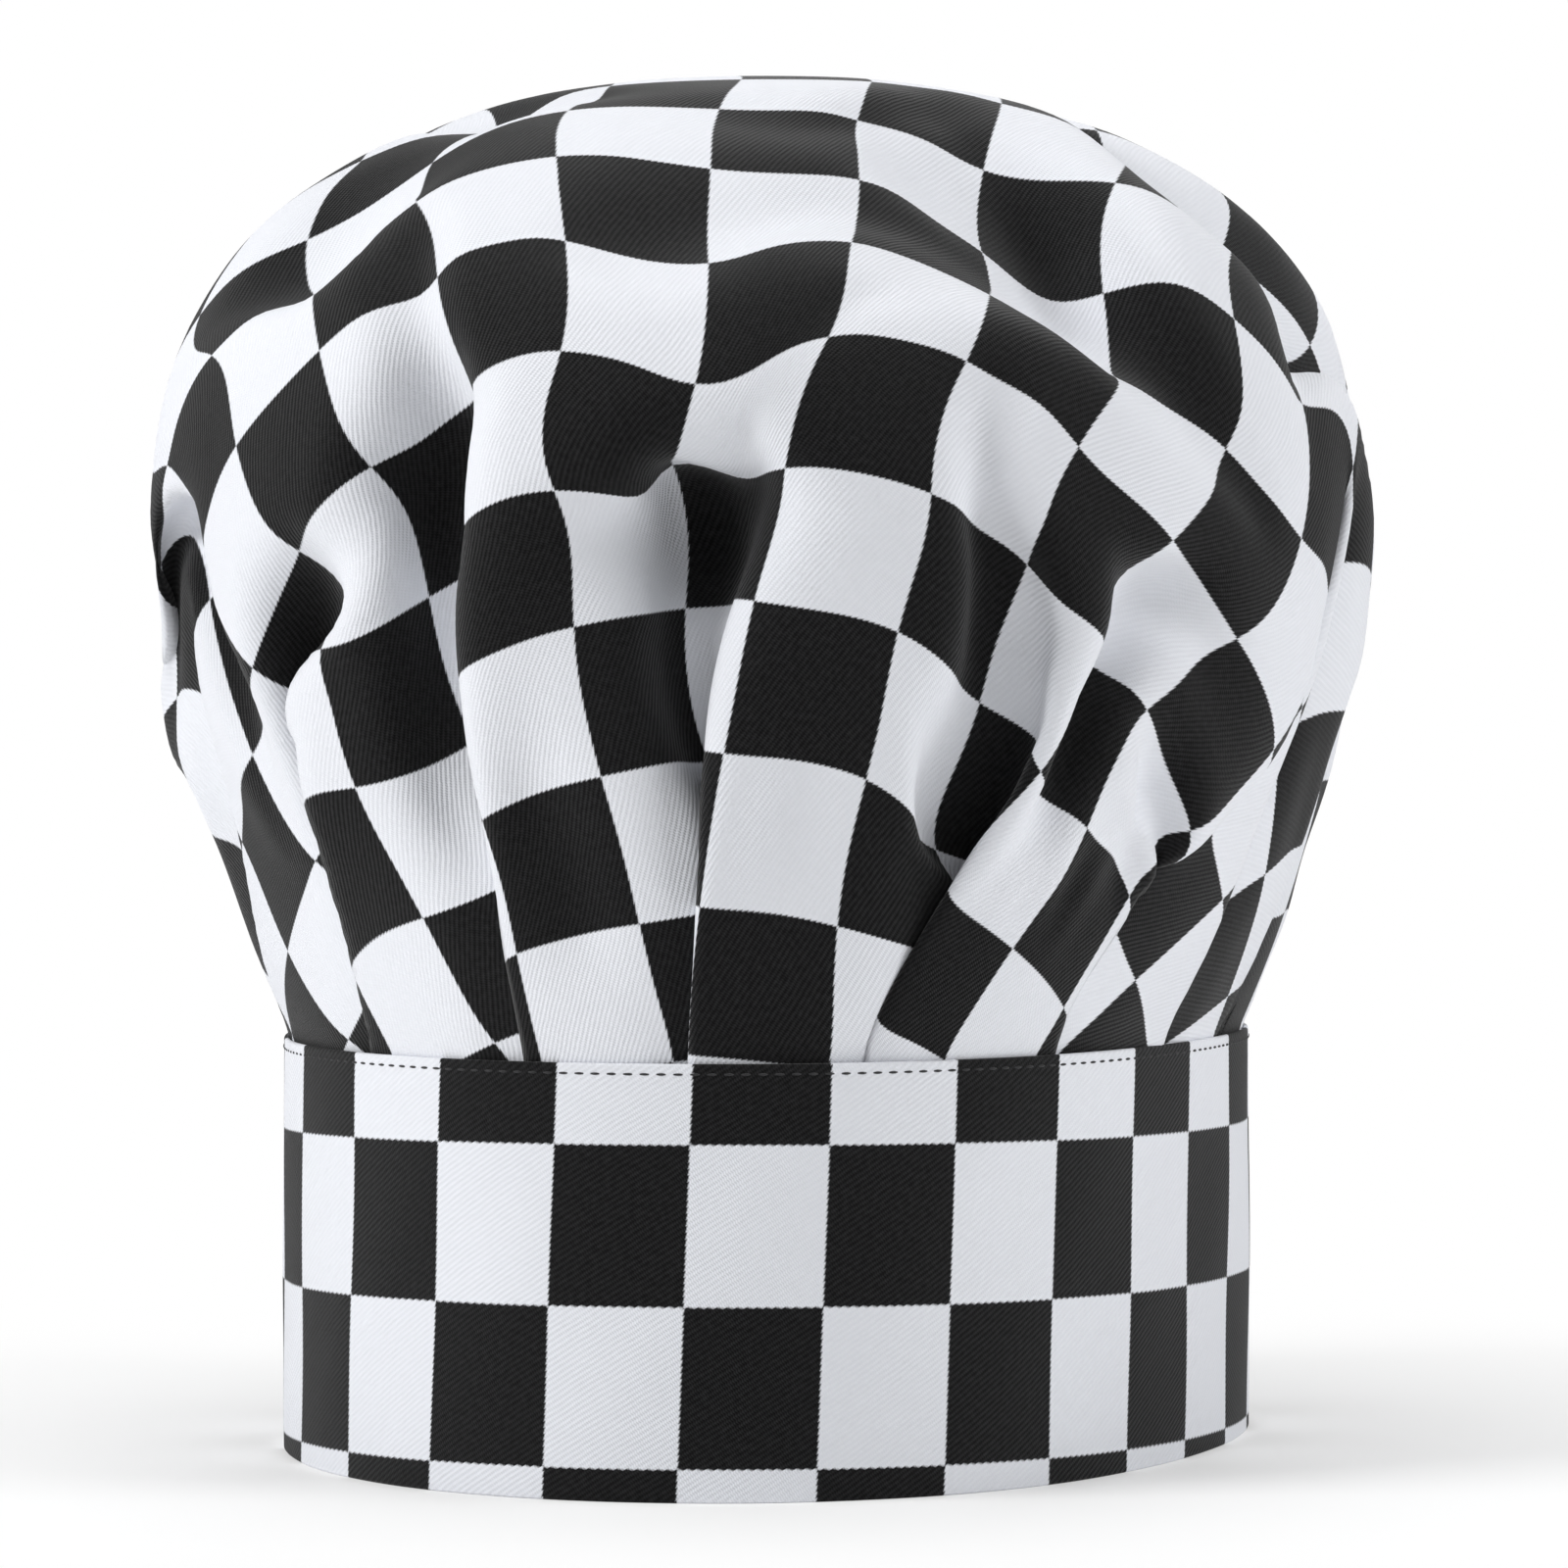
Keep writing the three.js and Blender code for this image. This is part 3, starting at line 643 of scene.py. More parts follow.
def relaxed_crown():
    """The disc laid on the crown by the pleat map, then relaxed."""
    angle, layer, depth = pleat_map()
    gap = lerp(LOOSE_GAP, LAYER_GAP, fade_in(RADIUS, GAP_FROM, GAP_TO))
    cloth = on_crown(angle, layer * gap - depth)
    inset = GOAL_INSET * smooth(RADIUS / 80) * smooth((SEAM_RADIUS - RADIUS) / 60)
    goal = on_crown(angle, layer * gap - depth - inset)
    freedom = np.where(RADIUS > SEAM_RADIUS - 1, 0.0, 1.0) * CLOTH_THERE
    shown = (layer > HIDDEN_FROM) * freedom
    anchor = ANCHOR * fade_in(RADIUS, ANCHOR_FROM, ANCHOR_TO) * freedom
    groups = springs()
    pull = corner_pull()
    for now in range(ROUNDS):
        if now % MAP_EVERY == 0:
            normal = outward(cloth)
            cloth += pull(cloth) * freedom
            tuck(cloth, layer, gap, freedom)
        hold = SHAPE_HOLD * ((goal - cloth) * normal).sum(0)
        cloth += normal * ((PRESSURE + hold) * shown) + (goal - cloth) * anchor
        pull_springs(cloth, freedom, groups)
        keep_in_outline(cloth, freedom)
    return cloth


def creases():
    """How far the creases press the cloth in, over the disc.

    Across each crease, at a distance of s half widths, its depth times (1 - 0.8 s^2) exp(-s^2): a
    valley between raised shoulders. Along it the depth fades in and out over a third of its length."""
    pressed = np.zeros(RADIUS.shape)
    for column, row, to_column, to_row, depth, half_width in CREASES:
        start = np.array([CHECK_COLUMN_AT + CHECK * column, CHECK_ROW_AT + CHECK * row])
        way = np.array([CHECK * (to_column - column), CHECK * (to_row - row)])
        length = np.linalg.norm(way)
        along = ((U - start[0]) * way[0] + (V - start[1]) * way[1]) / length ** 2
        across = ((U - start[0]) * way[1] - (V - start[1]) * way[0]) / (length * half_width)
        fade = smooth(3 * along) * smooth(3 * (1 - along))
        pressed += depth * fade * (1 - 0.8 * across ** 2) * np.exp(-across ** 2)
    return pressed


def crown_mesh_data():
    """Points, quads and flat coordinates of the relaxed and creased crown."""
    cloth = relaxed_crown()
    cloth -= outward(cloth) * creases()
    there = CLOTH_THERE
    whole = there[:-1, :-1] & there[1:, :-1] & there[:-1, 1:] & there[1:, 1:]
    whole[:, SLIT_COLUMN] &= ~SLIT_ROWS[:-1]
    quads, _ = grid_faces(*RADIUS.shape)
    quads = quads[whole.ravel()]
    used, numbers = np.unique(quads, return_inverse=True)
    return cloth.reshape(3, -1).T[used], numbers.reshape(-1, 4), (U.ravel()[used], V.ravel()[used])


# Shaders

class Value:
    """A socket of a node tree. Operators on it add Math nodes."""

    def __init__(self, shader, socket):
        self.shader = shader
        self.socket = socket

    def maths(self, operation, *others):
        return self.shader.node("ShaderNodeMath", {"operation": operation}, self, *others)

    def __add__(self, other):
        return self.maths("ADD", other)

    __radd__ = __add__

    def __mul__(self, other):
        return self.maths("MULTIPLY", other)

    __rmul__ = __mul__

    def __sub__(self, other):
        return self.maths("SUBTRACT", other)

    def __rsub__(self, other):
        return self.shader.node("ShaderNodeMath", {"operation": "SUBTRACT"}, other, self)


class Shader:
    """The node tree of a material or a world. node() adds any node and gives one output back."""

    def __init__(self, owner):
        self.owner = owner
        owner.use_nodes = True
        self.tree = owner.node_tree
        self.tree.nodes.clear()

    def node(self, kind, settings, *inputs, output=0, **named):
        """Inputs go to the sockets in order, None leaving one alone, and named ones by their names. An
        output node gives nothing back."""
        made = self.tree.nodes.new(kind)
        for name, value in settings.items():
            setattr(made, name, value)
        for key, value in [*enumerate(inputs), *named.items()]:
            if value is None:
                continue
            socket = made.inputs[key.replace("_", " ") if isinstance(key, str) else key]
            if isinstance(value, Value):
                self.tree.links.new(value.socket, socket)
            else:
                socket.default_value = (*value, 1.0) if socket.type == "RGBA" else value
        return Value(self, made.outputs[output]) if made.outputs else None

    def mix(self, factor, first, second):
        """Blend two colours. Sockets 1 to 5 of a Mix node are for its other kinds of value."""
        return self.node("ShaderNodeMix", {"data_type": "RGBA"}, factor, *[None] * 5, first, second, output=2)

    def surface(self, colour, roughness, normal, sheen, specular=0.3):
        cloth = self.node("ShaderNodeBsdfPrincipled", {}, Base_Color=colour, Roughness=roughness,
                          Normal=normal, Sheen_Weight=sheen, Sheen_Roughness=0.5,
                          Specular_IOR_Level=specular)
        self.node("ShaderNodeOutputMaterial", {}, cloth)
        return self.owner


# Twill: spacing of its ribs and yarns, half the width of the border between two checks, and the
# length over which the band's rows bow
RIB_PITCH = 0.9
YARN_PITCH = 0.45
BORDER = 0.16
BOW_OVER = 170.0


def checked_twill(name, origin, rib_turn, check=(CHECK, CHECK), lean=0.0, bow=0.0, dents=3.5):
    """Twill woven black and white, in millimetres of the cloth's own flat coordinates.

    Twill ribs run across it at rib_turn, and the ribs' phase shifts the border between two checks back
    and forth, as the weave does. The lean tilts the columns, the bow lifts the rows away from the origin
    by bow (1 - cos(pi u / BOW_OVER)). The dents are soft hollows of handled cloth, 15 to 30 mm wide, as
    high as dents in units of the ribs."""
    s = Shader(bpy.data.materials.new(name))
    flat = s.node("ShaderNodeUVMap", {"uv_map": "flat"})
    u = s.node("ShaderNodeSeparateXYZ", {}, flat) * (1 / MM) - origin[0]
    v = s.node("ShaderNodeSeparateXYZ", {}, flat, output=1) * (1 / MM) - origin[1]
    across = u * (math.cos(rib_turn) / RIB_PITCH) + v * (math.sin(rib_turn) / RIB_PITCH)
    along = v * (math.cos(rib_turn) / YARN_PITCH) - u * (math.sin(rib_turn) / YARN_PITCH)
    wobble = s.node("ShaderNodeTexNoise", {}, flat, Scale=160.0, Detail=2.0)
    across = across + wobble * 0.5
    rib = across.maths("PINGPONG", 0.5) * 2.0
    yarn = (along + rib * 0.35).maths("PINGPONG", 0.5) * 2.0
    saw = across.maths("FRACT") - 0.5
    shift = saw * 0.3 + yarn * 0.08

    def stripe(coordinate, width):
        """-1 or 1 in turn, with a soft border between them."""
        wave = ((coordinate + shift) * (math.pi / width)).maths("SINE") * (width / math.pi / BORDER)
        return wave.maths("MAXIMUM", -1.0).maths("MINIMUM", 1.0)

    row = v
    if bow:
        row = v + bow - (u * (math.pi / BOW_OVER)).maths("COSINE") * bow
    ink = stripe(u - v * lean, check[0]) * stripe(row, check[1]) * 0.5 + 0.5

    cloud = s.node("ShaderNodeTexNoise", {}, flat, Scale=28.0, Detail=3.0)
    slub = s.node("ShaderNodeTexNoise", {}, flat, Scale=900.0, Detail=1.0)
    # Whites: painted shade, bluish grey in the twill's grooves between ribs and yarns, plus a faint random
    # cloud of tone
    groove_shade = (1.0 - rib) * 0.10 + (1.0 - yarn) * 0.05
    white_now = s.mix(groove_shade * 1.4 + cloud * 0.06, (0.86, 0.875, 0.92), (0.60, 0.62, 0.68))
    # Blacks: painted highlight, lighter grey along the crests of ribs and yarns, plus random tone from the
    # slubs
    crest_highlight_and_slub = rib * 0.5 + yarn * 0.35 + slub * 0.75 - 0.5
    black_now = s.mix(crest_highlight_and_slub, (0.002, 0.002, 0.0023), (0.026, 0.026, 0.027))
    colour = s.mix(ink, white_now, black_now)
    roughness = 0.78 + slub * 0.12 - ink * 0.08
    hollow = s.node("ShaderNodeTexNoise", {}, flat, Scale=48.0, Detail=1.5)
    height = rib * 0.8 + yarn * 0.3 + slub * 0.25 + hollow * dents
    bump = s.node("ShaderNodeBump", {}, Strength=0.55, Distance=0.00022, Height=height)
    return s.surface(colour, roughness, bump, sheen=0.2, specular=0.05)


def spun_thread():
    """Black sewing thread, darkened and roughened by noise as fine as its fibres."""
    s = Shader(bpy.data.materials.new("spun_thread"))
    where = s.node("ShaderNodeTexCoord", {}, output=3)
    fine = s.node("ShaderNodeTexNoise", {}, where, Scale=2600.0, Detail=2.0)
    colour = s.mix(fine, (0.008, 0.008, 0.009), (0.05, 0.05, 0.052))
    bump = s.node("ShaderNodeBump", {}, Strength=0.4, Distance=0.0001, Height=fine)
    return s.surface(colour, fine * 0.2 + 0.55, bump, sheen=0.1)


def tape_weave(name, colour, light, scale, roughness):
    """Woven tape ground: noise at the scale of its yarns darkens and roughens it."""
    s = Shader(bpy.data.materials.new(name))
    where = s.node("ShaderNodeTexCoord", {}, output=3)
    yarn = s.node("ShaderNodeTexNoise", {}, where, Scale=scale, Detail=3.0)
    cloud = s.node("ShaderNodeTexNoise", {}, where, Scale=scale / 12, Detail=2.0)
    shade = s.mix(yarn * 0.7 + cloud * 0.3, colour, light)
    bump = s.node("ShaderNodeBump", {}, Strength=0.5, Distance=0.0003, Height=yarn)
    return s.surface(shade, yarn * 0.2 + roughness, bump, sheen=0.2)


# Where a column and a row of the check begin at the band's front, and its check
BAND_COLUMN_POLAR = math.atan2(-105.0, -11.6 - BAND_CENTRE_X) % (2 * math.pi)
BAND_CHECK_AT = (np.interp(BAND_COLUMN_POLAR, WALK_POLAR, WALK_LENGTH), 61.0)
BAND_CHECK = (24.0, 27.7)

CROWN_TWILL = checked_twill("crown_twill", (CHECK_COLUMN_AT, CHECK_ROW_AT), math.radians(28))
BAND_TWILL = checked_twill("band_twill", BAND_CHECK_AT, math.radians(-58), BAND_CHECK, lean=0.038,
                           bow=1.5, dents=2.0)
THREAD = spun_thread()
LOOP_GROUND = tape_weave("loop_tape_ground", (0.012, 0.012, 0.013), (0.05, 0.05, 0.052), 900.0, 0.75)
HOOK_GROUND = tape_weave("hook_tape_ground", (0.010, 0.010, 0.011), (0.035, 0.035, 0.037), 1400.0, 0.45)
FLEECE = tape_weave("interfacing_fleece", (0.70, 0.70, 0.68), (0.86, 0.86, 0.84), 500.0, 0.8)


def finish_piece(piece, material, body, node):
    piece.data.materials.append(material)
    if body:
        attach(piece, body)
    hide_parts(node)


# Crown

def crown_piece():
    points, faces, flat = crown_mesh_data()
    piece = make_mesh("crown_cloth", points, faces, flat)
    face_outwards(piece)
    add_modifier(piece, "SUBSURF", levels=1, render_levels=1)
    add_modifier(piece, "SOLIDIFY", thickness=CLOTH * MM, offset=0.0)
    finish_piece(piece, CROWN_TWILL, "hat", "crown")


# Band

def rounded_line(corners, radius, steps):
    """A line through corners with each inner corner turned into an arc."""
    points = [np.array(corners[0], float)]
    for before, at, after in zip(corners, corners[1:], corners[2:]):
        before, at, after = (np.array(p, float) for p in (before, at, after))
        into = (at - before) / np.linalg.norm(at - before)
        out = (after - at) / np.linalg.norm(after - at)
        start, end = at - into * radius, at + out * radius
        for t in np.linspace(0, 1, steps + 1):
            points.append((1 - t) ** 2 * start + 2 * t * (1 - t) * at + t ** 2 * end)
    points.append(np.array(corners[-1], float))
    return np.array(points)


def refined(line, step):
    """Points added so that none of the line's stretches is longer than step."""
    pieces = [line[:1]]
    for a, b in zip(line, line[1:]):
        count = max(1, math.ceil(np.linalg.norm(b - a) / step))
        pieces.append(a + (b - a) * (np.arange(1, count + 1) / count)[:, None])
    return np.vstack(pieces)


def band_waves(along, z):
    """Slow swells of the band: sines of unlike lengths along it, wider at its middle height."""
    swell = 0.5 * np.sin(along / 23.0 + 0.9 * np.sin(z / 19.0)) + 0.35 * np.sin(along / 9.7 + z / 14.0 + 2.1)
    low = 0.25 * np.sin(along / 5.3 - z / 8.0)
    return (swell + low) * 0.45 * (0.35 + 0.65 * np.sin(np.pi * np.clip(z / BAND_HEIGHT, 0, 1)))


def topstitch_dip(along, z):
    """The stitch line draws the outer face in: a narrow bell round its height, deeper at a stitch."""
    line = np.exp(-((z - (BAND_HEIGHT - TOPSTITCH_INSET)) / 0.7) ** 2)
    return -0.28 * line * (1 + 0.3 * np.cos(2 * np.pi * along / STITCH_PITCH))


def band_section():
    """The folded strip's middle line, from the outer turned-in edge round the rim to the inner one."""
    half = CLOTH / 2
    outer, inner = -half, -BAND_THICKNESS + half
    turn = BAND_HEIGHT - BAND_TURN_IN
    top = BAND_HEIGHT - half
    corners = [(outer - CLOTH, turn), (outer - CLOTH, top), (outer, top), (outer, half),
               (inner, half), (inner, top), (inner + CLOTH, top), (inner + CLOTH, turn)]
    line = refined(rounded_line(corners, 0.24, 4), 2.4)
    length = running_length(line)
    rim = np.argmin(line[:, 1] + np.abs(line[:, 0] - outer) * 0.5)
    return line, length[rim] - length


def band_piece():
    """The section carried along the oval; its flat coordinates are its length along and across."""
    line, across = band_section()
    along = np.linspace(0.0, BAND_LENGTH - TAB_ROOT, 300)[:, None]
    out, z = line[:, 0][None], line[:, 1][None]
    is_outer = out > -BAND_THICKNESS / 2
    push = band_waves(along, z) + np.where(is_outer, topstitch_dip(along, z), -topstitch_dip(along, z))
    points = place(along, out + push * np.ones_like(along), z)
    faces, _ = grid_faces(*points.shape[:2])
    piece = make_mesh("band_outer_cloth", points, faces, (along, across[None]))
    add_modifier(piece, "SOLIDIFY", thickness=CLOTH * MM, offset=0.0)
    finish_piece(piece, BAND_TWILL, "hat", "band_cloth")


def sleeve(name, points, along, across):
    """A mesh of rings side by side, with the length along at each ring and across round each."""
    faces, seam = grid_faces(*points.shape[:2], round_columns=True)
    return make_mesh(name, points, faces, (along, across[None]), seam)


def strip_box(name, start, end, out0, out1, low, high, steps, put):
    """A thin closed strip with rounded edges, carried along the band by put."""
    radius = min(0.3 * (out1 - out0), 0.4)
    corners = [((out0 + out1) / 2, high), (out1, high), (out1, low), (out0, low), (out0, high),
               ((out0 + out1) / 2, high)]
    line = refined(rounded_line(corners, radius, 3), 3.0)[:-1]
    share = np.concatenate([[0.0, 0.0], np.linspace(0, 1, steps), [1.0, 1.0]])
    grow = np.concatenate([[0.02, 0.75], np.ones(steps), [0.75, 0.02]])
    along = start + (end - start) * share + np.concatenate([[-0.3, -0.25], np.zeros(steps), [0.25, 0.3]])
    middle = (out0 + out1) / 2
    out = middle + (line[:, 0][None] - middle) * grow[:, None]
    z = np.broadcast_to(line[:, 1][None], out.shape)
    length = running_length(np.vstack([line, line[:1]]))
    return sleeve(name, put(along[:, None], out, z), along[:, None], high - length)


def interfacing_piece():
    outer = -CLOTH - CLEARANCE
    low = CLOTH + CLEARANCE
    high = BAND_HEIGHT - BAND_TURN_IN - CLEARANCE
    put = lambda along, out, z: place(along, out + band_waves(along, z), z)
    piece = strip_box("band_stiffener", 2.5, BAND_LENGTH - 2.5, outer - INTERFACING, outer, low, high,
                      240, put)
    finish_piece(piece, FLEECE, "hat", "band_interfacing")


# Back closure

def quarter_round(distance):
    """The rise of the tab's rounded edge, from 0 to 1 over its radius: a quarter of a circle."""
    t = np.clip(distance / TAB_EDGE_RADIUS, 0.0, 1.0)
    return np.sqrt(t * (2 - t))


def tab_piece():
    """The band's strip past its end: a flat sleeve that thins from the band to the tab."""
    start, stop = BAND_LENGTH - TAB_ROOT, BAND_LENGTH + TAB_LENGTH
    along = np.concatenate([np.linspace(start, stop - TAB_EDGE_RADIUS, TAB_STEPS),
                            stop + np.array([-0.5, -0.2, -0.05, 0.0])])[:, None]
    thin = smooth((along - BAND_LENGTH + TAB_THIN_BEFORE) / TAB_THIN_OVER)
    thickness = lerp(BAND_THICKNESS, TAB_THICKNESS, thin)
    end = quarter_round(stop - along)
    inset = TAB_INSET * thin
    corners = [(-0.5, 1.0), (0.0, 1.0), (0.0, 0.0), (-1.0, 0.0), (-1.0, 1.0), (-0.5, 1.0)]
    line = refined(np.array(corners) * [1.0, 30.0], 1.0)[:-1] / [1.0, 30.0]
    deep, high = line[:, 0][None], line[:, 1][None]
    round_in = 1 - quarter_round(np.minimum(high, 1 - high) * BAND_HEIGHT)
    middle = -thickness / 2
    out = middle + (deep * thickness - middle) * (1 - 0.8 * round_in) * np.maximum(end, 0.02)
    z = inset + high * (BAND_HEIGHT - 2 * inset)
    points = over_tab(along, out + band_waves(along, z) * (1 - thin), z)
    closed = np.vstack([line, line[:1]])
    across = np.where(np.arange(len(closed)) * 2 < len(closed), closed[:, 1], -closed[:, 1]) * BAND_HEIGHT
    piece = sleeve("tab_sleeve", points, along, across)
    add_modifier(piece, "SOLIDIFY", thickness=CLOTH * MM * 0.8, offset=-1.0)
    finish_piece(piece, BAND_TWILL, None, "tab_cloth")
    settle(piece)
    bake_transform(piece)


def tubes(centre, hint, size, sides):
    """Tubes round centre lines (tube, ring, xyz); size is their radius at each ring and hint a
    direction across each line."""
    tangent = np.gradient(centre, axis=1)
    tangent /= np.linalg.norm(tangent, axis=2, keepdims=True)
    side = np.cross(tangent, hint)
    side /= np.linalg.norm(side, axis=2, keepdims=True)
    up = np.cross(side, tangent)
    turn = np.arange(sides) * 2 * np.pi / sides
    ring = side[:, :, None] * np.cos(turn)[:, None] + up[:, :, None] * np.sin(turn)[:, None]
    points = centre[:, :, None] + ring * np.reshape(size, (1, -1, 1, 1))
    rings = centre.shape[1]
    faces, _ = grid_faces(rings, sides, round_columns=True)
    offset = (np.arange(len(centre)) * rings * sides)[:, None, None]
    return points.reshape(-1, 3), (faces[None] + offset).reshape(-1, 4)


def stitch_run(put, start, end, out):
    """Routes of the stitches along a line given by put(distance, out), and which way is out."""
    count = max(2, int(round((end - start) / STITCH_PITCH)))
    step = (end - start) / count
    t = np.linspace(0, 1, STITCH_RINGS)[None]
    at = start + step * np.arange(count)[:, None] + t * step * STITCH_SHARE
    here = put(at, np.full_like(at, out))
    direction = put(at, np.full_like(at, out + 1.0)) - here
    direction /= np.linalg.norm(direction, axis=2, keepdims=True)
    return here, direction


def stitches(name, node, body, *runs):
    """A tube along each route, its ends thinning and dipping into the cloth."""
    routes, outs = (np.vstack(parts) for parts in zip(*runs))
    rise = np.sin(np.pi * np.linspace(0, 1, STITCH_RINGS)) ** 0.45
    centre = routes + outs * (rise * 0.34 - 0.16)[None, :, None]
    piece = make_mesh(name, *tubes(centre, outs, THREAD_RADIUS * np.maximum(rise, 0.15), 6))
    finish_piece(piece, THREAD, body, node)


def band_stitches():
    z = BAND_HEIGHT - TOPSTITCH_INSET
    start, end = END_FREE, BAND_LENGTH - END_FREE

    def outside(at, out):
        return place(at, out + band_waves(at, z) + topstitch_dip(at, z), np.full_like(at, z))

    def inside(at, out):
        moved = band_waves(at, z) - topstitch_dip(at, z)
        return place(at, -BAND_THICKNESS - out + moved, np.full_like(at, z))

    stitches("band_topstitch", "band_topstitch_thread", "hat", stitch_run(outside, start, end, 0.0))
    stitches("band_bobbin_stitch", "band_bobbin_thread", "hat", stitch_run(inside, start, end, 0.0))


def frame_runs(put, start, end, low, high, out):
    """Four runs of stitches round a rectangle that lies on the band."""
    level = lambda z: (lambda at, o: put(at, o, np.full_like(at, z)))
    upright = lambda s: (lambda at, o: put(np.full_like(at, s), o, at))
    return [stitch_run(level(low), start, end, out), stitch_run(level(high), start, end, out),
            stitch_run(upright(start), low, high, out), stitch_run(upright(end), low, high, out)]


# One loop and one hook, as reach and height of points along them
LOOP_ARCH = [(-0.34, -0.08), (-0.36, 0.12), (-0.2, 0.29), (0.06, 0.33), (0.3, 0.2), (0.28, -0.06)]
HOOK_CROOK = [(0.0, -0.1), (0.0, 0.2), (0.02, 0.38), (0.1, 0.5), (0.24, 0.54), (0.36, 0.46), (0.4, 0.34)]


def pile(name, put, span, pitch, path, radius, sides, turns, material, body):
    """Small filaments standing on a tape, on a grid over span (start, end, low, high).

    The path gives the reach and the height of each from its foot, in millimetres; turns is the share
    of a full turn by which their directions differ by chance, about every second row facing back."""
    start, end, low, high = span
    columns, rows = int((end - start) / pitch[0]), int((high - low) / pitch[1])
    column, row = (k.ravel()[:, None] for k in np.mgrid[0:columns, 0:rows])
    chance = np.random.default_rng(11).random((4, columns * rows, 1)) - 0.5
    along = start + (column + 0.5 + 0.5 * turns * chance[0]) * (end - start) / columns
    z = low + (row + 0.5 + 0.5 * turns * chance[1]) * (high - low) / rows
    turn = np.pi * (row % 2) + 2 * np.pi * turns * chance[2] + 0.1
    reach, height = np.array(path).T[:, None]
    height = height * (1 + 0.3 * turns * chance[3])
    centre = put(along + reach * np.cos(turn), height, z + reach * np.sin(turn))
    across = put(along - np.sin(turn) + 0 * reach, 0 * height, z + np.cos(turn) + 0 * reach)
    across -= put(along + 0 * reach, 0 * height, z + 0 * reach)
    piece = make_mesh(name, *tubes(centre, across, radius * np.ones(len(path)), sides))
    piece.data.materials.append(material)
    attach(piece, body)


def closure():
    """The two tapes with their loops and hooks, the stitches that hold them, and the tab's stiffener."""
    low, high = (BAND_HEIGHT - TAPE_HEIGHT) / 2, (BAND_HEIGHT + TAPE_HEIGHT) / 2
    loop_start, loop_end = LOOP_TAPE_START, LOOP_TAPE_START + LOOP_TAPE_LENGTH
    hook_end = TAB_LENGTH - HOOK_TAPE_END_INSET
    hook_start = hook_end - HOOK_TAPE_LENGTH
    inset = TAPE_STITCH_INSET
    loops_foot, hooks_foot = CLEARANCE + TAPE * 0.7, TAPE_STACK - CLEARANCE - TAPE * 0.5

    loop = strip_box("loop_tape_strip", loop_start, loop_end, CLEARANCE, loops_foot, low, high, 60, place)
    finish_piece(loop, LOOP_GROUND, "hat", "loop_tape")
    hook = strip_box("hook_tape_strip", hook_start, hook_end, hooks_foot, TAPE_STACK - CLEARANCE, low, high,
                     50, place)
    finish_piece(hook, HOOK_GROUND, "tab", "hook_tape")

    pile("loop_tape_loops", lambda along, out, z: place(along, loops_foot + out, z),
         (loop_start + 0.5, loop_end - 0.5, low + 0.5, high - 0.5), (0.78, 0.72), LOOP_ARCH, 0.035, 3, 1.0,
         THREAD, "hat")
    pile("hook_tape_hooks", lambda along, out, z: place(along, hooks_foot - out, z),
         (hook_start + 0.6, hook_end - 0.6, low + 0.6, high - 0.6), (1.3, 1.0), HOOK_CROOK, 0.07, 4, 0.06,
         HOOK_GROUND, "tab")

    inside = lambda along, out, z: place(along, -BAND_THICKNESS - out, z)
    outside = lambda along, out, z: place(along, TAPE_STACK + TAB_THICKNESS + out, z)
    edge = TAB_INSET + TOPSTITCH_INSET
    stitches("loop_tape_stitch", "loop_tape_thread", "hat",
             *frame_runs(inside, loop_start + inset, loop_end - inset, low + inset, high - inset, 0.1))
    stitches("hook_tape_stitch", "hook_tape_thread", "tab",
             *frame_runs(outside, hook_start + inset, hook_end - inset, low + inset, high - inset, 0.05))
    stitches("tab_edge_stitch", "tab_thread", "tab",
             *frame_runs(outside, 3.0, TAB_LENGTH - TOPSTITCH_INSET, edge, BAND_HEIGHT - edge, 0.05))

    first = TAPE_STACK + CLOTH + CLEARANCE
    margin = TAB_INSET + CLOTH + CLEARANCE
    core = strip_box("tab_stiffener", END_FREE, TAB_LENGTH - END_FREE, first, first + INTERFACING,
                     margin, BAND_HEIGHT - margin, 40, place)
    finish_piece(core, FLEECE, "tab", "tab_interfacing")


# Stage

def photo_camera():
    data = bpy.data.cameras.new("photo_view")
    data.sensor_width = 36.0
    data.lens = FOCAL_PX * data.sensor_width / IMAGE_PX
    camera = add_object("photo_view", data)
    camera.location = EYE * MM
    camera.rotation_euler = (0.5 * math.pi - PITCH, 0.0, 0.0)
    bpy.context.scene.camera = camera


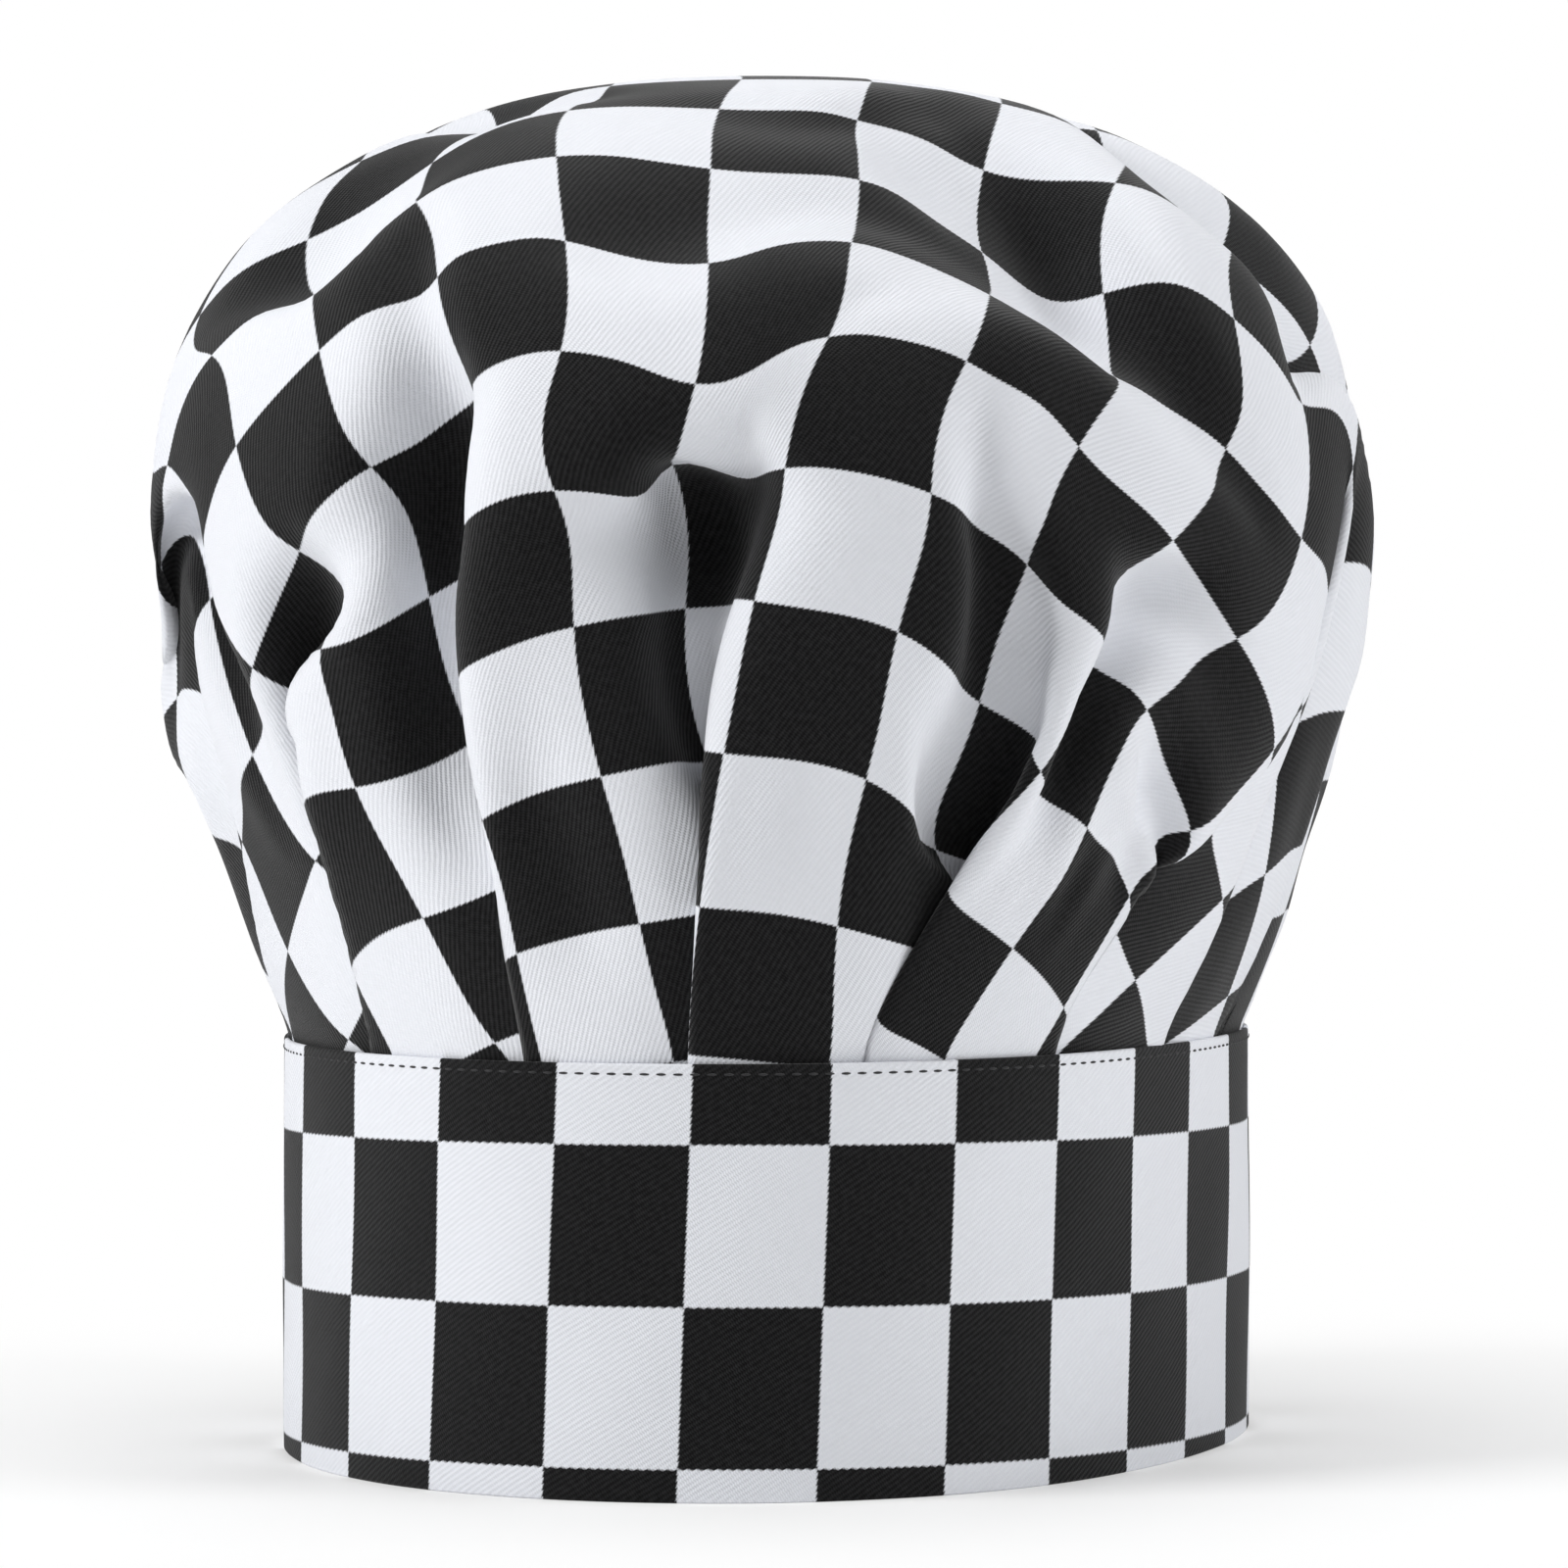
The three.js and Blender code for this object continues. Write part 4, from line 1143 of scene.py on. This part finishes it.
# Lamps: place and size in metres, and power in watts; each faces AIM_M
AIM_M = (0.0, 0.0, 0.13)
LAMPS = [
    ("left", (-1.7, -0.7, 1.2), 0.8, 30.0),
    ("right", (1.7, -0.5, 0.9), 0.8, 16.5),
    ("top", (0.0, 0.1, 2.0), 1.0, 13.0),
    ("rear", (0.3, 1.9, 1.1), 1.2, 9.0),
]
ROOM_LIGHT = 0.18
FLOOR_RINGS = (1e-3, 60.0, 400.0, 3000.0)


def soft_light(name, place_m, size_m, power_w):
    data = bpy.data.lights.new(name, "AREA")
    data.size = size_m
    data.energy = power_w
    lamp = add_object(name, data)
    lamp.location = place_m
    away = np.array(place_m) - np.array(AIM_M)
    lamp.rotation_euler = (math.acos(away[2] / np.linalg.norm(away)), 0.0, math.atan2(away[0], -away[1]))


def pale_room():
    """White to the camera, dim as a lamp."""
    world = bpy.data.worlds.new("pale_room")
    bpy.context.scene.world = world
    s = Shader(world)
    seen = s.node("ShaderNodeLightPath", {})
    light = s.node("ShaderNodeBackground", {}, (1.0, 1.0, 1.0), seen * (1 - ROOM_LIGHT) + ROOM_LIGHT)
    s.node("ShaderNodeOutputWorld", {}, light)


def pale_floor():
    """A disc that takes the hat's soft shadow and, for the camera, glows white further out."""
    s = Shader(bpy.data.materials.new("pale_floor"))
    where = s.node("ShaderNodeTexCoord", {}, output=3)
    radius = s.node("ShaderNodeVectorMath", {"operation": "LENGTH"}, where, output=1)
    fade = s.node("ShaderNodeMapRange", {"interpolation_type": "SMOOTHSTEP"}, radius, 0.105, 0.3, 0.35, 1.0)
    seen = s.node("ShaderNodeLightPath", {})
    paint = s.node("ShaderNodeBsdfDiffuse", {}, (0.93, 0.93, 0.93))
    glow = s.node("ShaderNodeEmission", {}, (1.0, 1.0, 1.0))
    s.node("ShaderNodeOutputMaterial", {}, s.node("ShaderNodeMixShader", {}, fade * seen, paint, glow))

    turn = np.linspace(0, 2 * math.pi, 65)[:-1]
    circle = np.stack([np.cos(turn), np.sin(turn), 0 * turn], -1)
    faces, _ = grid_faces(len(FLOOR_RINGS), len(turn), round_columns=True)
    ground = make_mesh("floor", np.array(FLOOR_RINGS)[:, None, None] * circle, faces[:, ::-1])
    ground.data.materials.append(s.owner)


photo_camera()
crown_piece()
band_piece()
interfacing_piece()
tab_piece()
band_stitches()
closure()
for lamp in LAMPS:
    soft_light(*lamp)
pale_room()
pale_floor()
bpy.context.scene.view_settings.view_transform = "Standard"
